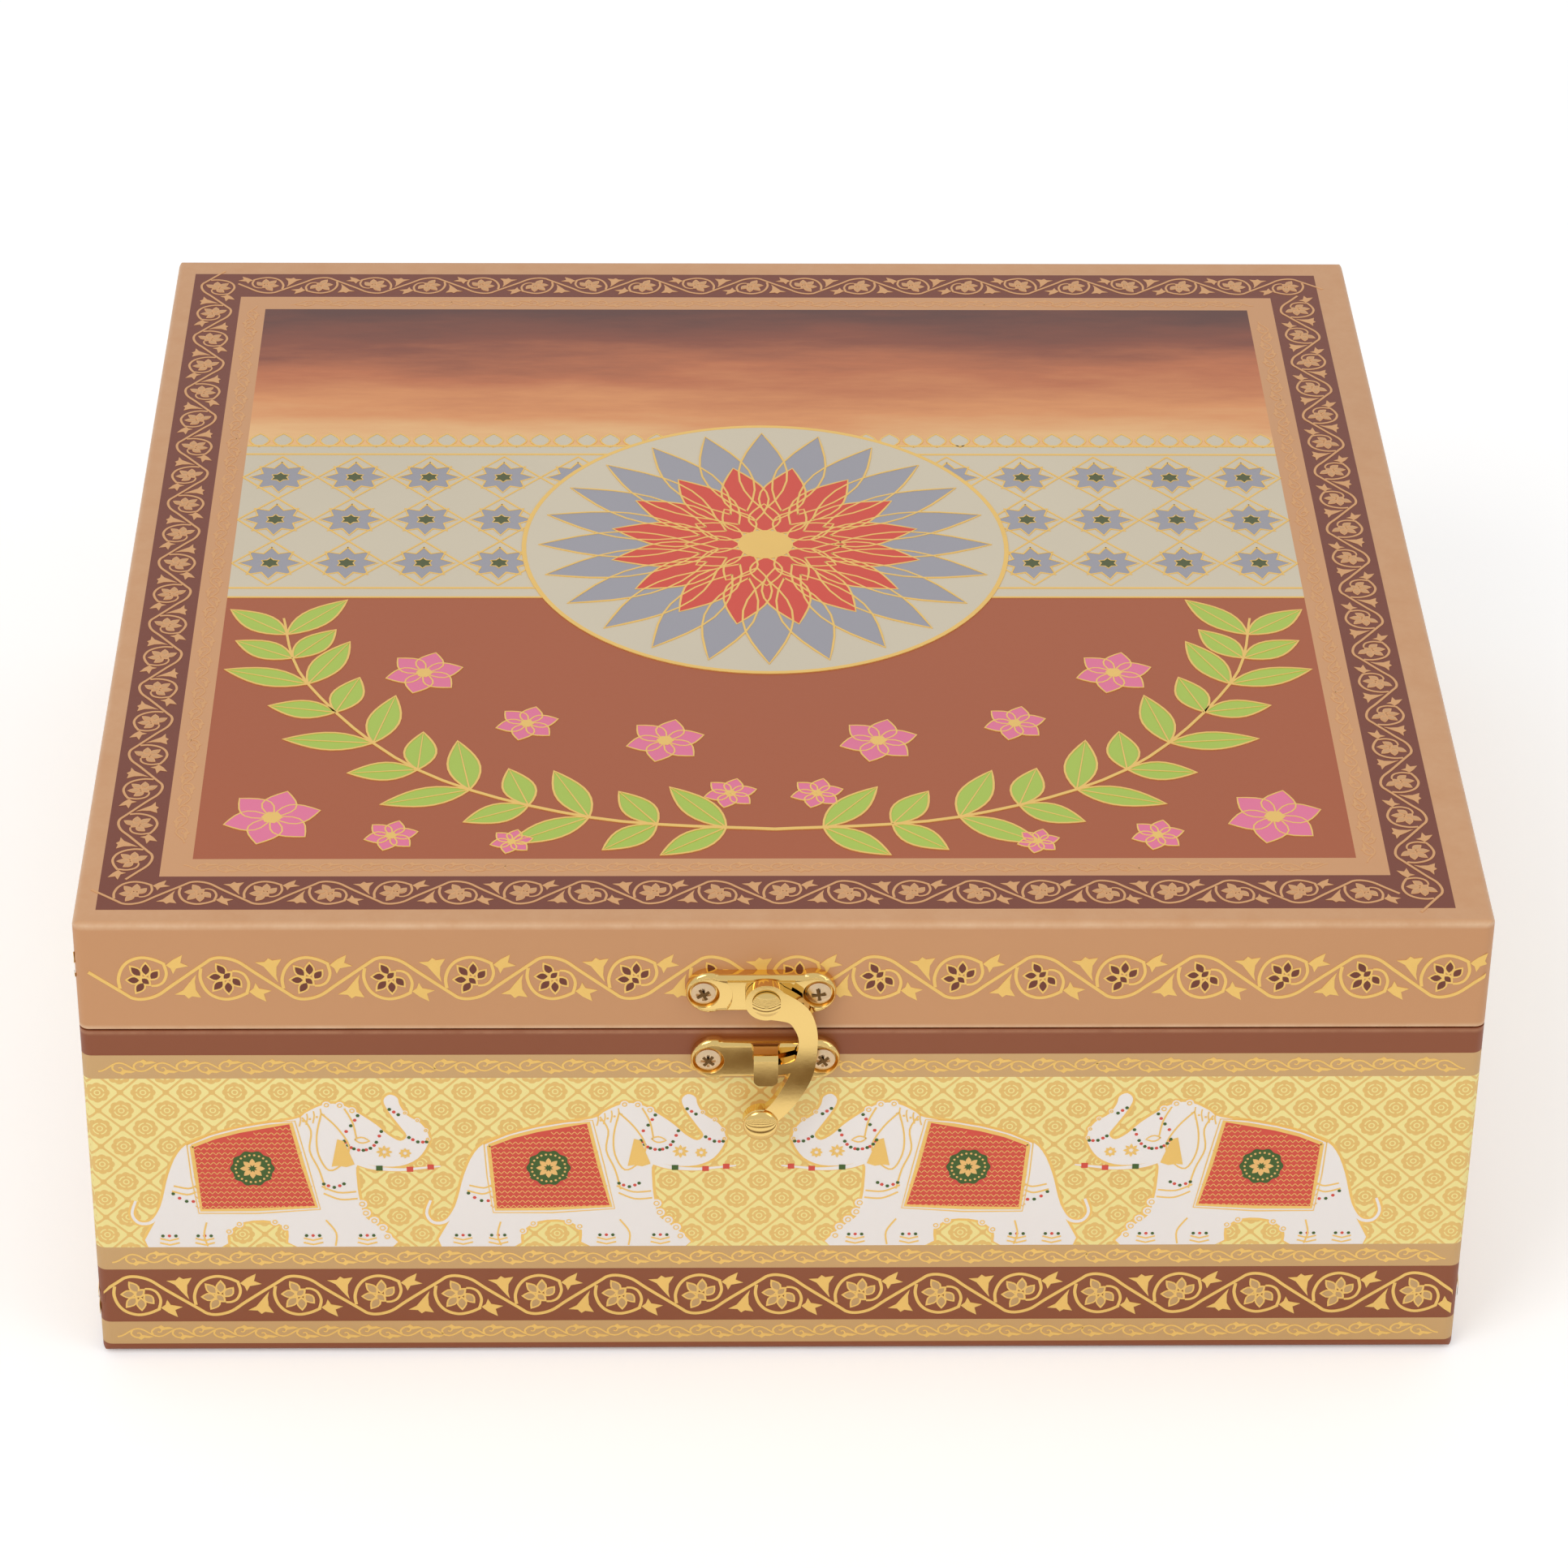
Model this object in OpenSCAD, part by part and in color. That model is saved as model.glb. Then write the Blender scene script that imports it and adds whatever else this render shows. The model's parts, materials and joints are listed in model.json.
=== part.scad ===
// Square sweet box: paper-wrapped board base and hinged lid, swing-hook clasp, lift-up lid.
// Millimetres, +Z up, front face towards -Y, origin in the middle of the underside.

/* [Box] */
// Outside width of the box, left to right
box_w = 254; // [200:1:320]
// Outside depth of the box, front to back
box_d = 254; // [200:1:320]
// Height of the base from the table to its rim
base_h = 74.7; // [60:0.1:120]
// Height of the lid from its rim to its top
lid_h = 22.9; // [20:0.1:40]
// Shadow gap between the two rims
seam_gap = 0.4; // [0.2:0.1:1]
// Thickness of the wall boards
wall_t = 5; // [4:0.5:8]
// Thickness of the floor board and the lid's top board
panel_t = 4; // [3:0.5:6]
// Radius of the upright corners
corner_r = 2; // [1.5:0.1:5]
// Radius of the lid's top edge and the base's bottom edge
edge_r = 1.2; // [0.8:0.1:1.4]

/* [Paper] */
// Thickness of the printed paper with its glue
paper_t = 0.3; // [0.2:0.05:0.4]
// Thickness of the lining card
lining_t = 0.6; // [0.5:0.05:1]
// How far the printed paper turns in over the rim
turn_in = 10; // [6:0.5:14]
// How far the printed paper turns under the floor
turn_under = 14; // [8:1:30]
// Thickness of the plain sheet under the base
sheet_t = 0.5; // [0.3:0.1:1]
// How far the plain sheet stays inside the outline
sheet_margin = 4; // [2:1:6]
// How far the lining stops below the rim
lining_drop = 3; // [2:0.5:5]

/* [Dividers] */
// Thickness of a divider board
divider_t = 2; // [1.5:0.1:3]
// Height of the dividers above the floor lining
divider_h = 58; // [35:1:65]
// Distance of the outer dividers from the middle
divider_off = 41; // [30:0.5:50]
// Gap between a divider and what it fits into
divider_fit = 0.15; // [0.1:0.05:0.3]

/* [Clasp] */
// Middle of the clasp, left of the middle of the box
clasp_x = -3.4; // [-20:0.1:20]
// Pivot above the lid's rim
pivot_rise = 8.95; // [8:0.05:10]
// Middle of the catch plate below the base's rim
catch_drop = 5.4; // [5:0.1:6.5]
// Middle of the latch plate from the pivot, to the left
latch_shift = 0.9; // [0:0.1:1.5]
// Distance between the two screws of a plate
screw_pitch = 20.7; // [20:0.1:23]
// Distance between the middles of a plate's round ends
lobe_pitch = 18.5; // [18:0.1:20]
// Radius of a plate's round ends
lobe_r = 4.25; // [4:0.05:4.6]
// Half height of the waist between the round ends
waist_h = 3.9; // [3.6:0.1:4]
// How far the face of the latch plate stands off the wall
latch_depth = 2.8; // [2.6:0.1:3.4]
// How far the face of the catch plate stands off the wall
catch_depth = 2.2; // [1.9:0.1:2.4]
// Thickness of the stamped metal
metal_t = 0.7; // [0.5:0.1:0.9]
// Radius of the pressed edge round a plate's face
press_r = 0.9; // [0.8:0.1:1.1]
// Radius of the dished pocket round a screw
pocket_r = 2.75; // [2.6:0.05:3]
// Depth of the dished pocket
pocket_depth = 1; // [0.6:0.1:1.2]

/* [Hook] */
// Thickness of the hook
hook_t = 2; // [1.6:0.1:2.4]
// Radius of the eye round the pivot
eye_r = 3.8; // [3.5:0.1:4.2]
// Distance from the pivot down to the middle of the finger tip
hook_reach = 27; // [26:0.5:30]
// Distance from the pivot across to the outside of the arm
hook_bulge = 9.3; // [9:0.1:10.5]
// Radius of the finger tip
tip_r = 3.3; // [2.8:0.1:3.8]
// Radius of the rivet's shank
rivet_r = 1.6; // [1.4:0.1:1.9]
// Radius of the rivet's domed head
rivet_head_r = 2.55; // [2.3:0.05:2.9]
// Height of the rivet's domed head
rivet_head_h = 1; // [0.8:0.1:1.4]
// Running clearance of the hook on the rivet
pivot_fit = 0.05; // [0.02:0.01:0.1]
// Gap between the hook and what it slides over
slide_gap = 0.15; // [0.1:0.05:0.25]
// Half width of the catch's tab
tab_w = 2.2; // [1.8:0.1:2.5]
// Length of the catch's tab, downwards
tab_l = 6.4; // [5.8:0.1:7]
// Thickness of the catch's tab
tab_t = 1.2; // [1:0.1:1.4]
// Slack between the hook's finger and the neck of the catch
hook_slack = 1.4; // [0.6:0.1:1.8]
// Height of the hook's inner finger
finger_h = 2.3; // [1.8:0.1:2.6]

/* [Hinges] */
// Distance of a hinge from the middle of the box
hinge_off = 77; // [50:1:85]
// Width of a hinge
hinge_w = 25; // [22:0.5:30]
// Height of a leaf from the pin
leaf_h = 12; // [10.5:0.5:13]
// Thickness of a leaf
leaf_t = 0.9; // [0.7:0.1:1.1]
// Outside radius of the knuckles
knuckle_r = 2; // [1.8:0.1:2.4]
// Number of knuckles
knuckle_n = 5; // [3:2:7]
// Radius of the pin
pin_r = 0.9; // [0.8:0.05:1]
// Running clearance of the pin and between knuckles
hinge_fit = 0.08; // [0.04:0.01:0.1]
// Distance of a leaf's screws from the middle of the leaf
leaf_screw_x = 8; // [6:0.5:9]

/* [Screws] */
// Radius of a screw's shank
screw_r = 1.1; // [0.9:0.05:1.25]
// Radius of a clasp screw's head
head_r = 2.25; // [2.1:0.05:2.4]
// Height of a clasp screw's head
head_h = 1.2; // [0.9:0.1:1.6]
// Length of a clasp screw below its head
screw_l = 4.6; // [4:0.1:5]
// Radius of a hinge screw's countersunk head
sunk_r = 1.95; // [1.7:0.05:2.1]
// Length of a hinge screw
sunk_l = 4.5; // [3.5:0.1:5]

/* [Hidden] */
$fn = 48;
eps = 0.01;

board_col = [0.76, 0.62, 0.44];
tan_col = [0.80, 0.60, 0.42];
brown_col = [0.58, 0.32, 0.19];
card_col = [0.93, 0.85, 0.68];
grey_col = [0.62, 0.62, 0.61];
gold_col = [0.89, 0.72, 0.36];

// Boards sit one paper thickness inside the outside faces
board_w = box_w - 2 * paper_t;
board_d = box_d - 2 * paper_t;
board_r = corner_r - paper_t;
board_edge_r = edge_r - paper_t;
inner_w = board_w - 2 * wall_t;
inner_d = board_d - 2 * wall_t;
cavity_w = inner_w - 2 * lining_t;
cavity_d = inner_d - 2 * lining_t;

base_z0 = sheet_t + paper_t;
floor_top = base_z0 + panel_t;
base_z1 = base_h - paper_t;
lid_rim = base_h + seam_gap;
lid_z0 = lid_rim + paper_t;
box_h = lid_rim + lid_h;
lid_z1 = box_h - paper_t;
top_under = lid_z1 - panel_t;

// Clasp heights on the front wall, and depths counted outwards from it
pivot_z = lid_rim + pivot_rise;
catch_z = base_h - catch_drop;
hook_back = latch_depth + slide_gap;
hook_front = hook_back + hook_t;
tab_back = hook_front + slide_gap;
tab_top = catch_z + lobe_r - press_r + metal_t / 2;
neck_r = pivot_z - tab_top + tab_t;
finger_r = norm([neck_r, tab_w]) + hook_slack;

pin_y = box_d / 2 + knuckle_r + hinge_fit;
pin_z = base_h + seam_gap / 2;
knuckle_w = hinge_w / knuckle_n;

// A block with round upright corners and one rounded end: side = 1 the top edge, side = -1 the bottom
module soft_block(w, d, z0, z1, r, er, side) {
    intersection() {
        translate([0, 0, z0]) linear_extrude(z1 - z0) round_square(w, d, r);
        translate([0, d / 2 + 1, 0]) rotate([90, 0, 0]) linear_extrude(d + 2) end_profile(w, z0, z1, er, side);
        translate([-w / 2 - 1, 0, 0]) rotate([90, 0, 90]) linear_extrude(w + 2) end_profile(d, z0, z1, er, side);
    }
}

// Side view of a soft block: across and height, with two round corners
module end_profile(w, z0, z1, er, side) {
    z_round = side > 0 ? z1 - er : z0 + er;
    translate([-w / 2, side > 0 ? z0 : z_round]) square([w, z1 - z0 - er]);
    translate([-w / 2 + er, z0]) square([w - 2 * er, z1 - z0]);
    for (s = [-1, 1]) translate([s * (w / 2 - er), z_round]) circle(er);
}

module round_square(w, d, r) {
    square([w - 2 * r, d], center = true);
    square([w, d - 2 * r], center = true);
    for (sx = [-1, 1], sy = [-1, 1]) translate([sx * (w / 2 - r), sy * (d / 2 - r)]) circle(r);
}

module block(w, d, z0, z1) {
    translate([-w / 2, -d / 2, z0]) cube([w, d, z1 - z0]);
}

// Places children on the front wall: x to the right, y up, z outwards
module on_front(z) {
    translate([clasp_x, -box_d / 2, z]) rotate([90, 0, 0]) children();
}

// Places children on the back wall at the pin: x to the left, y up, z outwards
module on_back(side) {
    translate([side * hinge_off, box_d / 2, pin_z]) rotate([90, 0, 180]) children();
}

// Boards of either shell, all inside one outline
module base_outline() {
    soft_block(board_w, board_d, base_z0, base_z1, board_r, board_edge_r, -1);
}

module lid_outline() {
    soft_block(board_w, board_d, lid_z0, lid_z1, board_r, board_edge_r, 1);
}

module front_back_wall(side, z0, z1) {
    translate([-board_w / 2, side < 0 ? -board_d / 2 : board_d / 2 - wall_t, z0])
        cube([board_w, wall_t, z1 - z0]);
}

module side_wall(side, z0, z1) {
    translate([side < 0 ? -board_w / 2 : board_w / 2 - wall_t, -inner_d / 2, z0])
        cube([wall_t, inner_d, z1 - z0]);
}

module base_floor() color(board_col) intersection() {
    base_outline();
    block(box_w, box_d, base_z0, floor_top);
}

module base_front_wall() color(board_col) difference() {
    intersection() {
        base_outline();
        front_back_wall(-1, floor_top, base_z1);
    }
    on_front(catch_z) screw_holes(0);
}

module base_back_wall() color(board_col) difference() {
    intersection() {
        base_outline();
        front_back_wall(1, floor_top, base_z1);
    }
    hinge_holes(-1);
}

module base_left_wall() color(board_col) side_wall(-1, floor_top, base_z1);

module base_right_wall() color(board_col) side_wall(1, floor_top, base_z1);

// One printed sheet round the walls, turned in over the rim and under the floor
module base_wrap() color(tan_col) difference() {
    union() {
        difference() {
            soft_block(box_w, box_d, sheet_t, base_h, corner_r, edge_r, -1);
            base_outline();
            block(inner_w, inner_d, base_z0, base_h + eps);
            block(box_w - 2 * turn_under, box_d - 2 * turn_under, 0, base_z0 + eps);
        }
        turned_edge(base_h - turn_in, base_h);
    }
    on_front(catch_z) screw_holes(0);
    hinge_holes(-1);
}

// Paper that lies on the inside of the walls next to a rim
module turned_edge(z0, z1) {
    difference() {
        block(inner_w, inner_d, z0, z1);
        block(inner_w - 2 * paper_t, inner_d - 2 * paper_t, z0 - eps, z1 + eps);
    }
}

// Plain sheet that closes the underside, over the turned-under paper
module base_sheet() color(grey_col) {
    block(box_w - 2 * sheet_margin, box_d - 2 * sheet_margin, 0, sheet_t);
    block(box_w - 2 * turn_under, box_d - 2 * turn_under, 0, base_z0);
}

module base_floor_lining() color(card_col) block(inner_w, inner_d, floor_top, floor_top + lining_t);

module base_wall_lining() color(card_col) difference() {
    block(inner_w, inner_d, floor_top + lining_t, base_h - lining_drop);
    block(cavity_w, cavity_d, floor_top, base_h);
    turned_edge(base_h - turn_in, base_h);
}

// Divider boards, halved into each other like an egg crate
divider_z0 = floor_top + lining_t;
divider_half = divider_z0 + divider_h / 2;
slot_t = divider_t + 2 * divider_fit;

module divider_across(side) color(brown_col) difference() {
    translate([0, side * divider_off, 0])
        block(cavity_w - 2 * divider_fit, divider_t, divider_z0, divider_z0 + divider_h);
    for (s = [-1, 1]) translate([s * divider_off, side * divider_off, 0])
        block(slot_t, 2 * divider_t, divider_half, divider_z0 + divider_h + 1);
}

module divider_deep(side) color(brown_col) difference() {
    translate([side * divider_off, 0, 0])
        block(divider_t, cavity_d - 2 * divider_fit, divider_z0, divider_z0 + divider_h);
    for (s = [-1, 1]) translate([side * divider_off, s * divider_off, 0])
        block(2 * divider_t, slot_t, divider_z0 - 1, divider_half);
}

module lid_top() color(board_col) intersection() {
    lid_outline();
    block(box_w, box_d, top_under, lid_z1);
}

module lid_front_wall() color(board_col) difference() {
    intersection() {
        lid_outline();
        front_back_wall(-1, lid_z0, top_under);
    }
    on_front(pivot_z) screw_holes(-latch_shift);
}

module lid_back_wall() color(board_col) difference() {
    intersection() {
        lid_outline();
        front_back_wall(1, lid_z0, top_under);
    }
    hinge_holes(1);
}

module lid_left_wall() color(board_col) side_wall(-1, lid_z0, top_under);

module lid_right_wall() color(board_col) side_wall(1, lid_z0, top_under);

// One printed sheet over the top and down the walls, turned in over the rim
module lid_wrap() color(tan_col) difference() {
    union() {
        difference() {
            soft_block(box_w, box_d, lid_rim, box_h, corner_r, edge_r, 1);
            lid_outline();
            block(inner_w, inner_d, lid_rim - eps, lid_z0 + eps);
        }
        turned_edge(lid_rim, lid_rim + turn_in);
    }
    on_front(pivot_z) screw_holes(-latch_shift);
    hinge_holes(1);
}

module lid_top_lining() color(card_col) block(inner_w, inner_d, top_under - lining_t, top_under);

module lid_wall_lining() color(card_col) difference() {
    block(inner_w, inner_d, lid_rim + lining_drop, top_under - lining_t);
    block(cavity_w, cavity_d, lid_rim, top_under);
    turned_edge(lid_rim, lid_rim + turn_in);
}

// Stamped plates of the clasp

// Half section of a plate's pressed rim: distance out from the middle line, and depth
function rim_section(half, depth, r) = concat(
    [[0, 0], [half, 0]],
    [for (a = [0:15:90]) [half - r + r * cos(a), depth - r + r * sin(a)]],
    [[0, depth]]
);

module plate_form(half_lobe, half_waist, depth, r) {
    for (s = [-1, 1]) translate([s * lobe_pitch / 2, 0, 0])
        rotate_extrude() polygon(rim_section(half_lobe, depth, r));
    for (s = [0, 1]) mirror([0, s, 0]) rotate([90, 0, 90]) translate([0, 0, -lobe_pitch / 2])
        linear_extrude(lobe_pitch) polygon(rim_section(half_waist, depth, r));
}

// Hollow pressed plate with two dished pockets for its screws
module pressed_plate(depth) {
    difference() {
        union() {
            difference() {
                plate_form(lobe_r, waist_h, depth, press_r);
                translate([0, 0, -eps])
                    plate_form(lobe_r - metal_t, waist_h - metal_t, depth - metal_t + eps, press_r - metal_t / 2);
            }
            intersection() {
                plate_form(lobe_r, waist_h, depth, press_r);
                for (s = [-1, 1]) translate([s * screw_pitch / 2, 0, depth - pocket_depth - metal_t])
                    cylinder(h = pocket_depth + metal_t, r = pocket_r + metal_t);
            }
        }
        for (s = [-1, 1]) translate([s * screw_pitch / 2, 0, 0]) {
            translate([0, 0, depth - pocket_depth])
                cylinder(h = pocket_depth + 1, r1 = pocket_r - 0.3, r2 = pocket_r + 0.6);
            translate([0, 0, -1]) cylinder(h = depth + 2, r = screw_r);
        }
    }
}

// Seat of a clasp screw's head, out from the wall
function screw_seat(depth) = depth - pocket_depth;

module screw_holes(shift) {
    for (s = [-1, 1]) translate([shift + s * screw_pitch / 2, 0, -wall_t - paper_t])
        cylinder(h = wall_t + paper_t + 1, r = screw_r);
}

module clasp_screw(depth) {
    translate([0, 0, screw_seat(depth) - screw_l]) cylinder(h = screw_l, r = screw_r - eps);
    difference() {
        translate([0, 0, screw_seat(depth)]) domed_disc(head_r, head_h, head_h * 0.45);
        for (a = [0, 90]) rotate(a) translate([-head_r * 0.6, -0.25, screw_seat(depth) + head_h * 0.5])
            cube([head_r * 1.2, 0.5, head_h]);
    }
}

// Disc with a low domed front
module domed_disc(r, h, rise) {
    dome_r = (r * r + rise * rise) / (2 * rise);
    intersection() {
        cylinder(h = h, r = r);
        translate([0, 0, h - dome_r]) sphere(dome_r, $fn = 96);
    }
}

module latch_plate() color(gold_col) on_front(pivot_z) difference() {
    union() {
        translate([-latch_shift, 0, 0]) {
            pressed_plate(boss_base);
            // Raised middle with its curved steps
            difference() {
                linear_extrude(latch_depth) intersection() {
                    square([screw_pitch, 2 * (waist_h - press_r)], center = true);
                    difference() {
                        square([screw_pitch, 4 * waist_h], center = true);
                        for (s = [-1, 1]) translate([s * screw_pitch / 2, 0]) circle(boss_clear_r);
                    }
                }
                translate([-screw_pitch, -waist_h, -1])
                    cube([2 * screw_pitch, 2 * waist_h, latch_depth - metal_t + 1]);
            }
        }
    }
    translate([0, 0, -1]) cylinder(h = latch_depth + 2, r = rivet_r);
}

boss_rise = 0.5;
boss_base = latch_depth - boss_rise;
boss_clear_r = 5.2;

module latch_screws() color(gold_col) on_front(pivot_z)
    for (s = [-1, 1]) translate([-latch_shift + s * screw_pitch / 2, 0, 0]) clasp_screw(boss_base);

module catch_screws() color(gold_col) on_front(catch_z)
    for (s = [-1, 1]) translate([s * screw_pitch / 2, 0, 0]) clasp_screw(catch_depth);

// Plate with a tongue that comes out over the hook's finger and turns down in front of it
module catch_plate() color(gold_col) on_front(catch_z) {
    pressed_plate(catch_depth);
    top = tab_top - catch_z;
    translate([-tab_w, 0, 0]) rotate([90, 0, 90]) linear_extrude(2 * tab_w) {
        translate([top - tab_t, catch_depth - metal_t]) square([tab_t, tab_back - catch_depth + metal_t]);
        translate([top - tab_t, tab_back]) intersection() {
            circle(tab_t);
            square(tab_t);
        }
    }
    // The part that hangs in front of the finger, with round lower corners
    translate([0, 0, tab_back]) linear_extrude(tab_t) {
        translate([-tab_w, top - tab_l / 2]) square([2 * tab_w, tab_l / 2 - tab_t]);
        translate([0, top - tab_l / 2 - tab_t / 2]) round_square(2 * tab_w, tab_l - tab_t, tab_corner_r);
    }
    // Flared root of the tongue
    for (s = [0, 1]) mirror([s, 0, 0]) translate([tab_w - eps, top, catch_depth - metal_t])
        rotate([90, 0, 0]) linear_extrude(tab_t) difference() {
            square(flare_r);
            translate([flare_r, flare_r]) circle(flare_r);
        }
}

flare_r = 1.6;
tab_corner_r = 1.3;

module hook_rivet() color(gold_col) on_front(pivot_z) {
    back = boss_base - metal_t;
    head = hook_front + slide_gap;
    translate([0, 0, back - rivet_tail]) cylinder(h = rivet_tail, r = rivet_r + rivet_lip);
    translate([0, 0, back]) cylinder(h = head - back, r = rivet_r - eps);
    translate([0, 0, head]) domed_disc(rivet_head_r, rivet_head_h, rivet_head_h * 0.6);
}

rivet_tail = 0.6;
rivet_lip = 0.7;

// Middle line of the arm from the eye to the tip: across, up and half width, from the pivot
arm_line = [
    [0, 0, 3.6],
    [hook_bulge - 4.3, -hook_reach * 0.08, 2.5],
    [hook_bulge - 2.35, -hook_reach * 0.19, 2],
    [hook_bulge - 1.7, -hook_reach * 0.34, 1.7],
    [hook_bulge - 2.6, -hook_reach * 0.56, 2],
    [hook_bulge - 4.6, -hook_reach * 0.74, 1.95],
    [hook_bulge - 7, -hook_reach * 0.88, 1.75],
    [hook_bulge - 10.1, -hook_reach, 1.8]
];

// Point and half width on a smooth curve through the middle line's points
function arm_at(i, t) =
    let (
        last = len(arm_line) - 1,
        a = arm_line[max(i - 1, 0)],
        b = arm_line[i],
        c = arm_line[min(i + 1, last)],
        d = arm_line[min(i + 2, last)]
    )
    0.5 * (2 * b + (c - a) * t + (2 * a - 5 * b + 4 * c - d) * t * t + (3 * b - a - 3 * c + d) * t * t * t);

arm_steps = 5;
arm_points = [
    for (i = [0 : len(arm_line) - 2], k = [0 : arm_steps - 1]) arm_at(i, k / arm_steps),
    arm_line[len(arm_line) - 1]
];

// Offset of the curve to one side by its half width
function arm_side(k, side) =
    let (
        last = len(arm_points) - 1,
        p = arm_points[k],
        q = arm_points[max(k - 1, 0)],
        n = arm_points[min(k + 1, last)],
        along = [n[0] - q[0], n[1] - q[1]],
        across = [-along[1], along[0]] / norm(along)
    )
    [p[0] + side * p[2] * across[0], p[1] + side * p[2] * across[1]];

module hook_outline() {
    count = len(arm_points);
    polygon(concat(
        [for (k = [0 : count - 1]) arm_side(k, 1)],
        [for (k = [count - 1 : -1 : 0]) arm_side(k, -1)]
    ));
    circle(eye_r);
}

// Finger inside the arm, on arcs round the pivot so that it slides under the neck
module finger_outline() {
    intersection() {
        difference() {
            circle(finger_r + finger_h);
            circle(finger_r, $fn = 96);
        }
        translate([-tab_w * 0.6, -hook_reach]) square([hook_bulge - 2, hook_reach]);
    }
}

module hook_arm() color(gold_col) on_front(pivot_z) difference() {
    union() {
        translate([0, 0, hook_back]) linear_extrude(hook_t) {
            hook_outline();
            finger_outline();
        }
        translate([arm_line[7][0], arm_line[7][1], hook_back]) domed_disc(tip_r, hook_t + tip_rise, tip_rise);
    }
    translate([0, 0, -1]) cylinder(h = hook_front + 2, r = rivet_r + pivot_fit);
}

tip_rise = 1;

// Butt hinges on the back wall

// Pieces of the barrel that belong to one leaf: odd = 0 for the outer set, 1 for the inner set
module knuckles(odd) {
    for (k = [odd : 2 : knuckle_n - 1])
        translate([-hinge_w / 2 + k * knuckle_w + hinge_fit, 0, 0]) children();
}

// A flat leaf with its knuckles; up = 1 for the lid's leaf, -1 for the base's
module hinge_leaf(up) {
    odd = up > 0 ? 1 : 0;
    length = knuckle_w - 2 * hinge_fit;
    clear = knuckle_r + 4 * hinge_fit;
    axis_z = knuckle_r + hinge_fit;
    difference() {
        union() {
            translate([-hinge_w / 2, up > 0 ? clear : -leaf_h, 0]) cube([hinge_w, leaf_h - clear, leaf_t]);
            knuckles(odd) {
                translate([0, 0, axis_z]) rotate([0, 90, 0]) cylinder(h = length, r = knuckle_r);
                translate([0, up > 0 ? 0 : -clear - eps, hinge_fit])
                    cube([length, clear + eps, leaf_t - hinge_fit]);
            }
        }
        translate([-hinge_w, 0, axis_z]) rotate([0, 90, 0])
            cylinder(h = 2 * hinge_w, r = odd == 1 ? pin_r + hinge_fit : pin_r);
        leaf_screw_places(up) {
            translate([0, 0, -1]) cylinder(h = leaf_t + 2, r = screw_r);
            sunk_cone(eps);
        }
    }
}

leaf_screw_y = (leaf_h + knuckle_r) / 2;

module leaf_screw_places(up) {
    for (s = [-1, 1]) translate([s * leaf_screw_x, up * leaf_screw_y, 0]) children();
}

// Countersink of a leaf, and past its face by over
module sunk_cone(over) {
    cylinder(h = leaf_t + over, r1 = screw_r, r2 = screw_r + (sunk_r - screw_r) * (leaf_t + over) / leaf_t);
}

module sunk_screw() {
    translate([0, 0, leaf_t - sunk_l]) cylinder(h = sunk_l, r = screw_r - eps);
    difference() {
        sunk_cone(0);
        for (a = [0, 90]) rotate(a) translate([-sunk_r * 0.6, -0.2, leaf_t * 0.5])
            cube([sunk_r * 1.2, 0.4, leaf_t]);
    }
}

module hinge_holes(up) {
    for (side = [-1, 1]) on_back(side) leaf_screw_places(up)
        translate([0, 0, -wall_t - paper_t]) cylinder(h = wall_t + paper_t + 1, r = screw_r);
}

module hinge_base_leaf(side) color(gold_col) on_back(side) hinge_leaf(-1);

module hinge_lid_leaf(side) color(gold_col) on_back(side) hinge_leaf(1);

module hinge_pin(side) color(gold_col) on_back(side) {
    length = hinge_w - 2 * hinge_fit;
    translate([-length / 2, 0, knuckle_r + hinge_fit]) rotate([0, 90, 0]) cylinder(h = length, r = pin_r);
}

module hinge_base_screws() color(gold_col)
    for (side = [-1, 1]) on_back(side) leaf_screw_places(-1) sunk_screw();

module hinge_lid_screws() color(gold_col)
    for (side = [-1, 1]) on_back(side) leaf_screw_places(1) sunk_screw();

base_floor();
base_front_wall();
base_back_wall();
base_left_wall();
base_right_wall();
base_wrap();
base_sheet();
base_wall_lining();
base_floor_lining();
divider_across(-1);  // divider_front
divider_across(1);  // divider_back
divider_deep(-1);  // divider_left
divider_deep(1);  // divider_right
catch_plate();
catch_screws();
hinge_base_leaf(-1);  // hinge_base_leaf_left
hinge_base_leaf(1);  // hinge_base_leaf_right
hinge_pin(-1);  // hinge_pin_left
hinge_pin(1);  // hinge_pin_right
hinge_base_screws();
lid_top();
lid_front_wall();
lid_back_wall();
lid_left_wall();
lid_right_wall();
lid_wrap();
lid_wall_lining();
lid_top_lining();
latch_plate();
latch_screws();
hook_rivet();
hinge_lid_leaf(-1);  // hinge_lid_leaf_left
hinge_lid_leaf(1);  // hinge_lid_leaf_right
hinge_lid_screws();
hook_arm();
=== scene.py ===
import bpy
import json
from math import sin, cos, pi, radians, hypot, atan2
from mathutils import Matrix, Vector


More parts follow.
